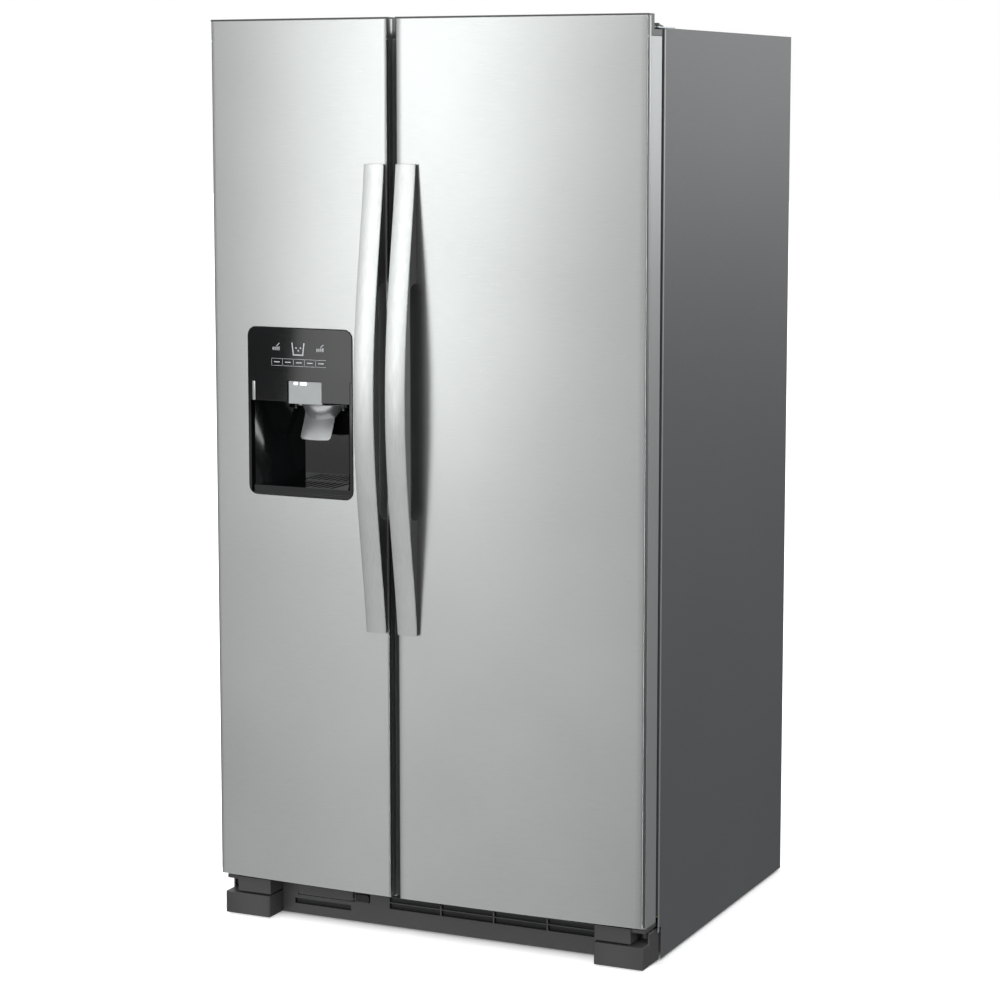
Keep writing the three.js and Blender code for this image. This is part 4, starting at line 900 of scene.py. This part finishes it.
# ------------------------------------------------------------------ studio
@dataclass
class Studio:
    """Camera, pale floor, sky and soft lights."""

    camera_mm: tuple[float, float, float] = (2287.4, -4571.1, 1609.5)
    turn_deg: float = 24.947
    pitch_deg: float = 7.18
    focal_share: float = 2.7143
    shift_y: float = -0.05

    def build(self) -> None:
        """Makes the whole studio."""
        self.make_camera()
        self.make_floor()
        self.make_sky()
        self.make_light("key", (-2.34, -5.1, 2.12), (0, -0.3, 2.12), (1.32, 3.55), 33, 6)
        self.make_light("fill", (-2.6, -5.8, -1.12), (0, 0, 0.0), (4.0, 2.95), 24)
        self.make_light("top", (0.4, -1.0, 4.4), (0, 0, 0.9), (3.0, 2.4), 40)
        self.make_light("rear", (4.5, 8.2, 3.2), (0.46, 0.2, 1.2), (4.2, 4.2), 112)
        self.make_light("wash", (-1.55, -7.5, 2.3), (0, 0, 1.2), (5.5, 4.0), 17)
        soft = self.make_light("front", (0.3, -5.6, 1.5), (0, 0, 1.0), (3.4, 2.8), 100)
        soft.visible_glossy = False
        self.make_light("edge", (3.6, -0.9, 0.6), (0.45, 0.0, 0.6), (0.3, 4.8), 30)
        bpy.context.scene.view_settings.view_transform = "Standard"

    def make_camera(self) -> None:
        """A camera above the doors' right, pitched down a little."""
        data = bpy.data.cameras.new("camera")
        data.sensor_width = 36.0
        data.lens = 36.0 * self.focal_share
        data.shift_y = self.shift_y
        camera = bpy.data.objects.new("camera", data)
        x, y, z = self.camera_mm
        camera.location = (x * MM, (y + FRONT_Y) * MM, z * MM)
        camera.rotation_euler = (math.radians(90 - self.pitch_deg), 0, math.radians(self.turn_deg))
        bpy.context.scene.collection.objects.link(camera)
        bpy.context.scene.camera = camera

    def make_floor(self) -> None:
        """A large pale floor that doesn't light the object from below; its glow fades out under the
        object's footprint, a painted contact shadow.
        """
        mesh = bpy.data.meshes.new("floor")
        reach, level = 40.0, -0.0005
        painted_shadow_middle, painted_shadow_half = (0, 0.07, 0), (0.4555, 0.355, 0)
        corners = [(x * reach, y * reach, level) for x, y in ((-1, -1), (1, -1), (1, 1), (-1, 1))]
        mesh.from_pydata(corners, [], [(0, 1, 2, 3)])
        material = bpy.data.materials.new("pale_floor")
        material.use_nodes = True
        shader = material.node_tree.nodes["Principled BSDF"]
        shader.inputs["Base Color"].default_value = linear("f7f7f7")
        shader.inputs["Roughness"].default_value = 0.9
        shader.inputs["Specular IOR Level"].default_value = 0.0
        shader.inputs["Emission Color"].default_value = (1, 1, 1, 1)
        tree = material.node_tree
        place = add_node(tree, "ShaderNodeTexCoord").outputs["Object"]
        flat = add_node(
            tree, "ShaderNodeVectorMath", {1: painted_shadow_middle}, {0: place}, operation="SUBTRACT"
        )
        size = add_node(
            tree, "ShaderNodeVectorMath", links={0: flat.outputs[0]}, operation="ABSOLUTE"
        )
        past = add_node(
            tree,
            "ShaderNodeVectorMath",
            {1: painted_shadow_half},
            {0: size.outputs[0]},
            operation="SUBTRACT",
        )
        apart = add_node(tree, "ShaderNodeSeparateXYZ", links={0: past.outputs[0]})
        outside = add_node(
            tree,
            "ShaderNodeMath",
            links={0: apart.outputs["X"], 1: apart.outputs["Y"]},
            operation="MAXIMUM",
        )
        # Glow rises from nothing under the footprint to full just past it: the floor's contact shadow is
        # painted this way.
        glow = add_node(
            tree,
            "ShaderNodeMapRange",
            {"From Min": -0.03, "From Max": 0.05, "To Min": 0.0, "To Max": 0.62},
            {"Value": outside.outputs[0]},
            interpolation_type="SMOOTHSTEP",
        )
        tree.links.new(glow.outputs[0], shader.inputs["Emission Strength"])
        mesh.materials.append(material)
        floor = bpy.data.objects.new("floor", mesh)
        floor.visible_glossy = False
        floor.visible_diffuse = False
        floor.visible_shadow = False
        bpy.context.scene.collection.objects.link(floor)

    def make_sky(self) -> None:
        """White where it is seen; as a light it is dark below the horizon and pale above."""
        world = bpy.data.worlds.new("sky")
        world.use_nodes = True
        tree = world.node_tree
        tree.nodes.clear()
        place = add_node(tree, "ShaderNodeTexCoord").outputs["Generated"]
        height = add_node(tree, "ShaderNodeSeparateXYZ", links={0: place})
        grey = add_node(
            tree,
            "ShaderNodeMapRange",
            {"From Min": -0.2, "From Max": 0.55, "To Min": 0.05, "To Max": 1.0},
            {"Value": height.outputs["Z"]},
        )
        seen = add_node(tree, "ShaderNodeLightPath")
        below = add_node(
            tree,
            "ShaderNodeMapRange",
            {"From Min": -0.45, "From Max": -0.7, "To Min": 0.0, "To Max": 1.2},
            {"Value": height.outputs["Z"]},
        )
        gloss = add_node(
            tree,
            "ShaderNodeMath",
            links={0: below.outputs[0], 1: seen.outputs["Is Glossy Ray"]},
            operation="MULTIPLY",
        )
        both = add_node(
            tree, "ShaderNodeMath", links={0: grey.outputs[0], 1: gloss.outputs[0]}, operation="ADD"
        )
        level = add_node(
            tree,
            "ShaderNodeMath",
            links={0: both.outputs[0], 1: seen.outputs["Is Camera Ray"]},
            operation="MAXIMUM",
        )
        sky = add_node(tree, "ShaderNodeBackground", links={"Strength": level.outputs[0]})
        sky.inputs["Color"].default_value = (1, 1, 1, 1)
        add_node(tree, "ShaderNodeOutputWorld", links={"Surface": sky.outputs[0]})
        bpy.context.scene.world = world

    def make_light(
        self, name: str, at: tuple, aim: tuple, size: tuple, watts: float, roll: float = 0
    ) -> bpy.types.Object:
        """A rectangular soft light.

        Args:
            name: its name.
            at: its place in metres.
            aim: the point it faces.
            size: width and height in metres.
            watts: its power.
            roll: turn about its own axis, in degrees.

        Returns:
            The light.
        """
        data = bpy.data.lights.new(name, "AREA")
        data.shape = "RECTANGLE"
        data.size, data.size_y = size
        data.energy = watts
        light = bpy.data.objects.new(name, data)
        light.location = at
        face = (Vector(aim) - Vector(at)).to_track_quat("-Z", "Y")
        face.rotate(Quaternion(Vector(aim) - Vector(at), math.radians(roll)))
        light.rotation_euler = face.to_euler()
        bpy.context.scene.collection.objects.link(light)
        return light


def main() -> None:
    """Builds every sub-assembly in order."""
    logging.basicConfig(level=logging.INFO, format="%(name)s: %(message)s")
    Studio().build()
    Cabinet().build()
    Interior().build()
    Door(Side.FREEZER, -455.5, -66.6, window=(-378.3, -144.7, 860.7, 1189.3)).build()
    Door(Side.FRIDGE, -50.8, 455.5).build()
    Handle(Side.FREEZER, -112.9).build()
    Handle(Side.FRIDGE, -46.5).build()
    Dispenser().build()


if __name__ == "__main__":
    main()
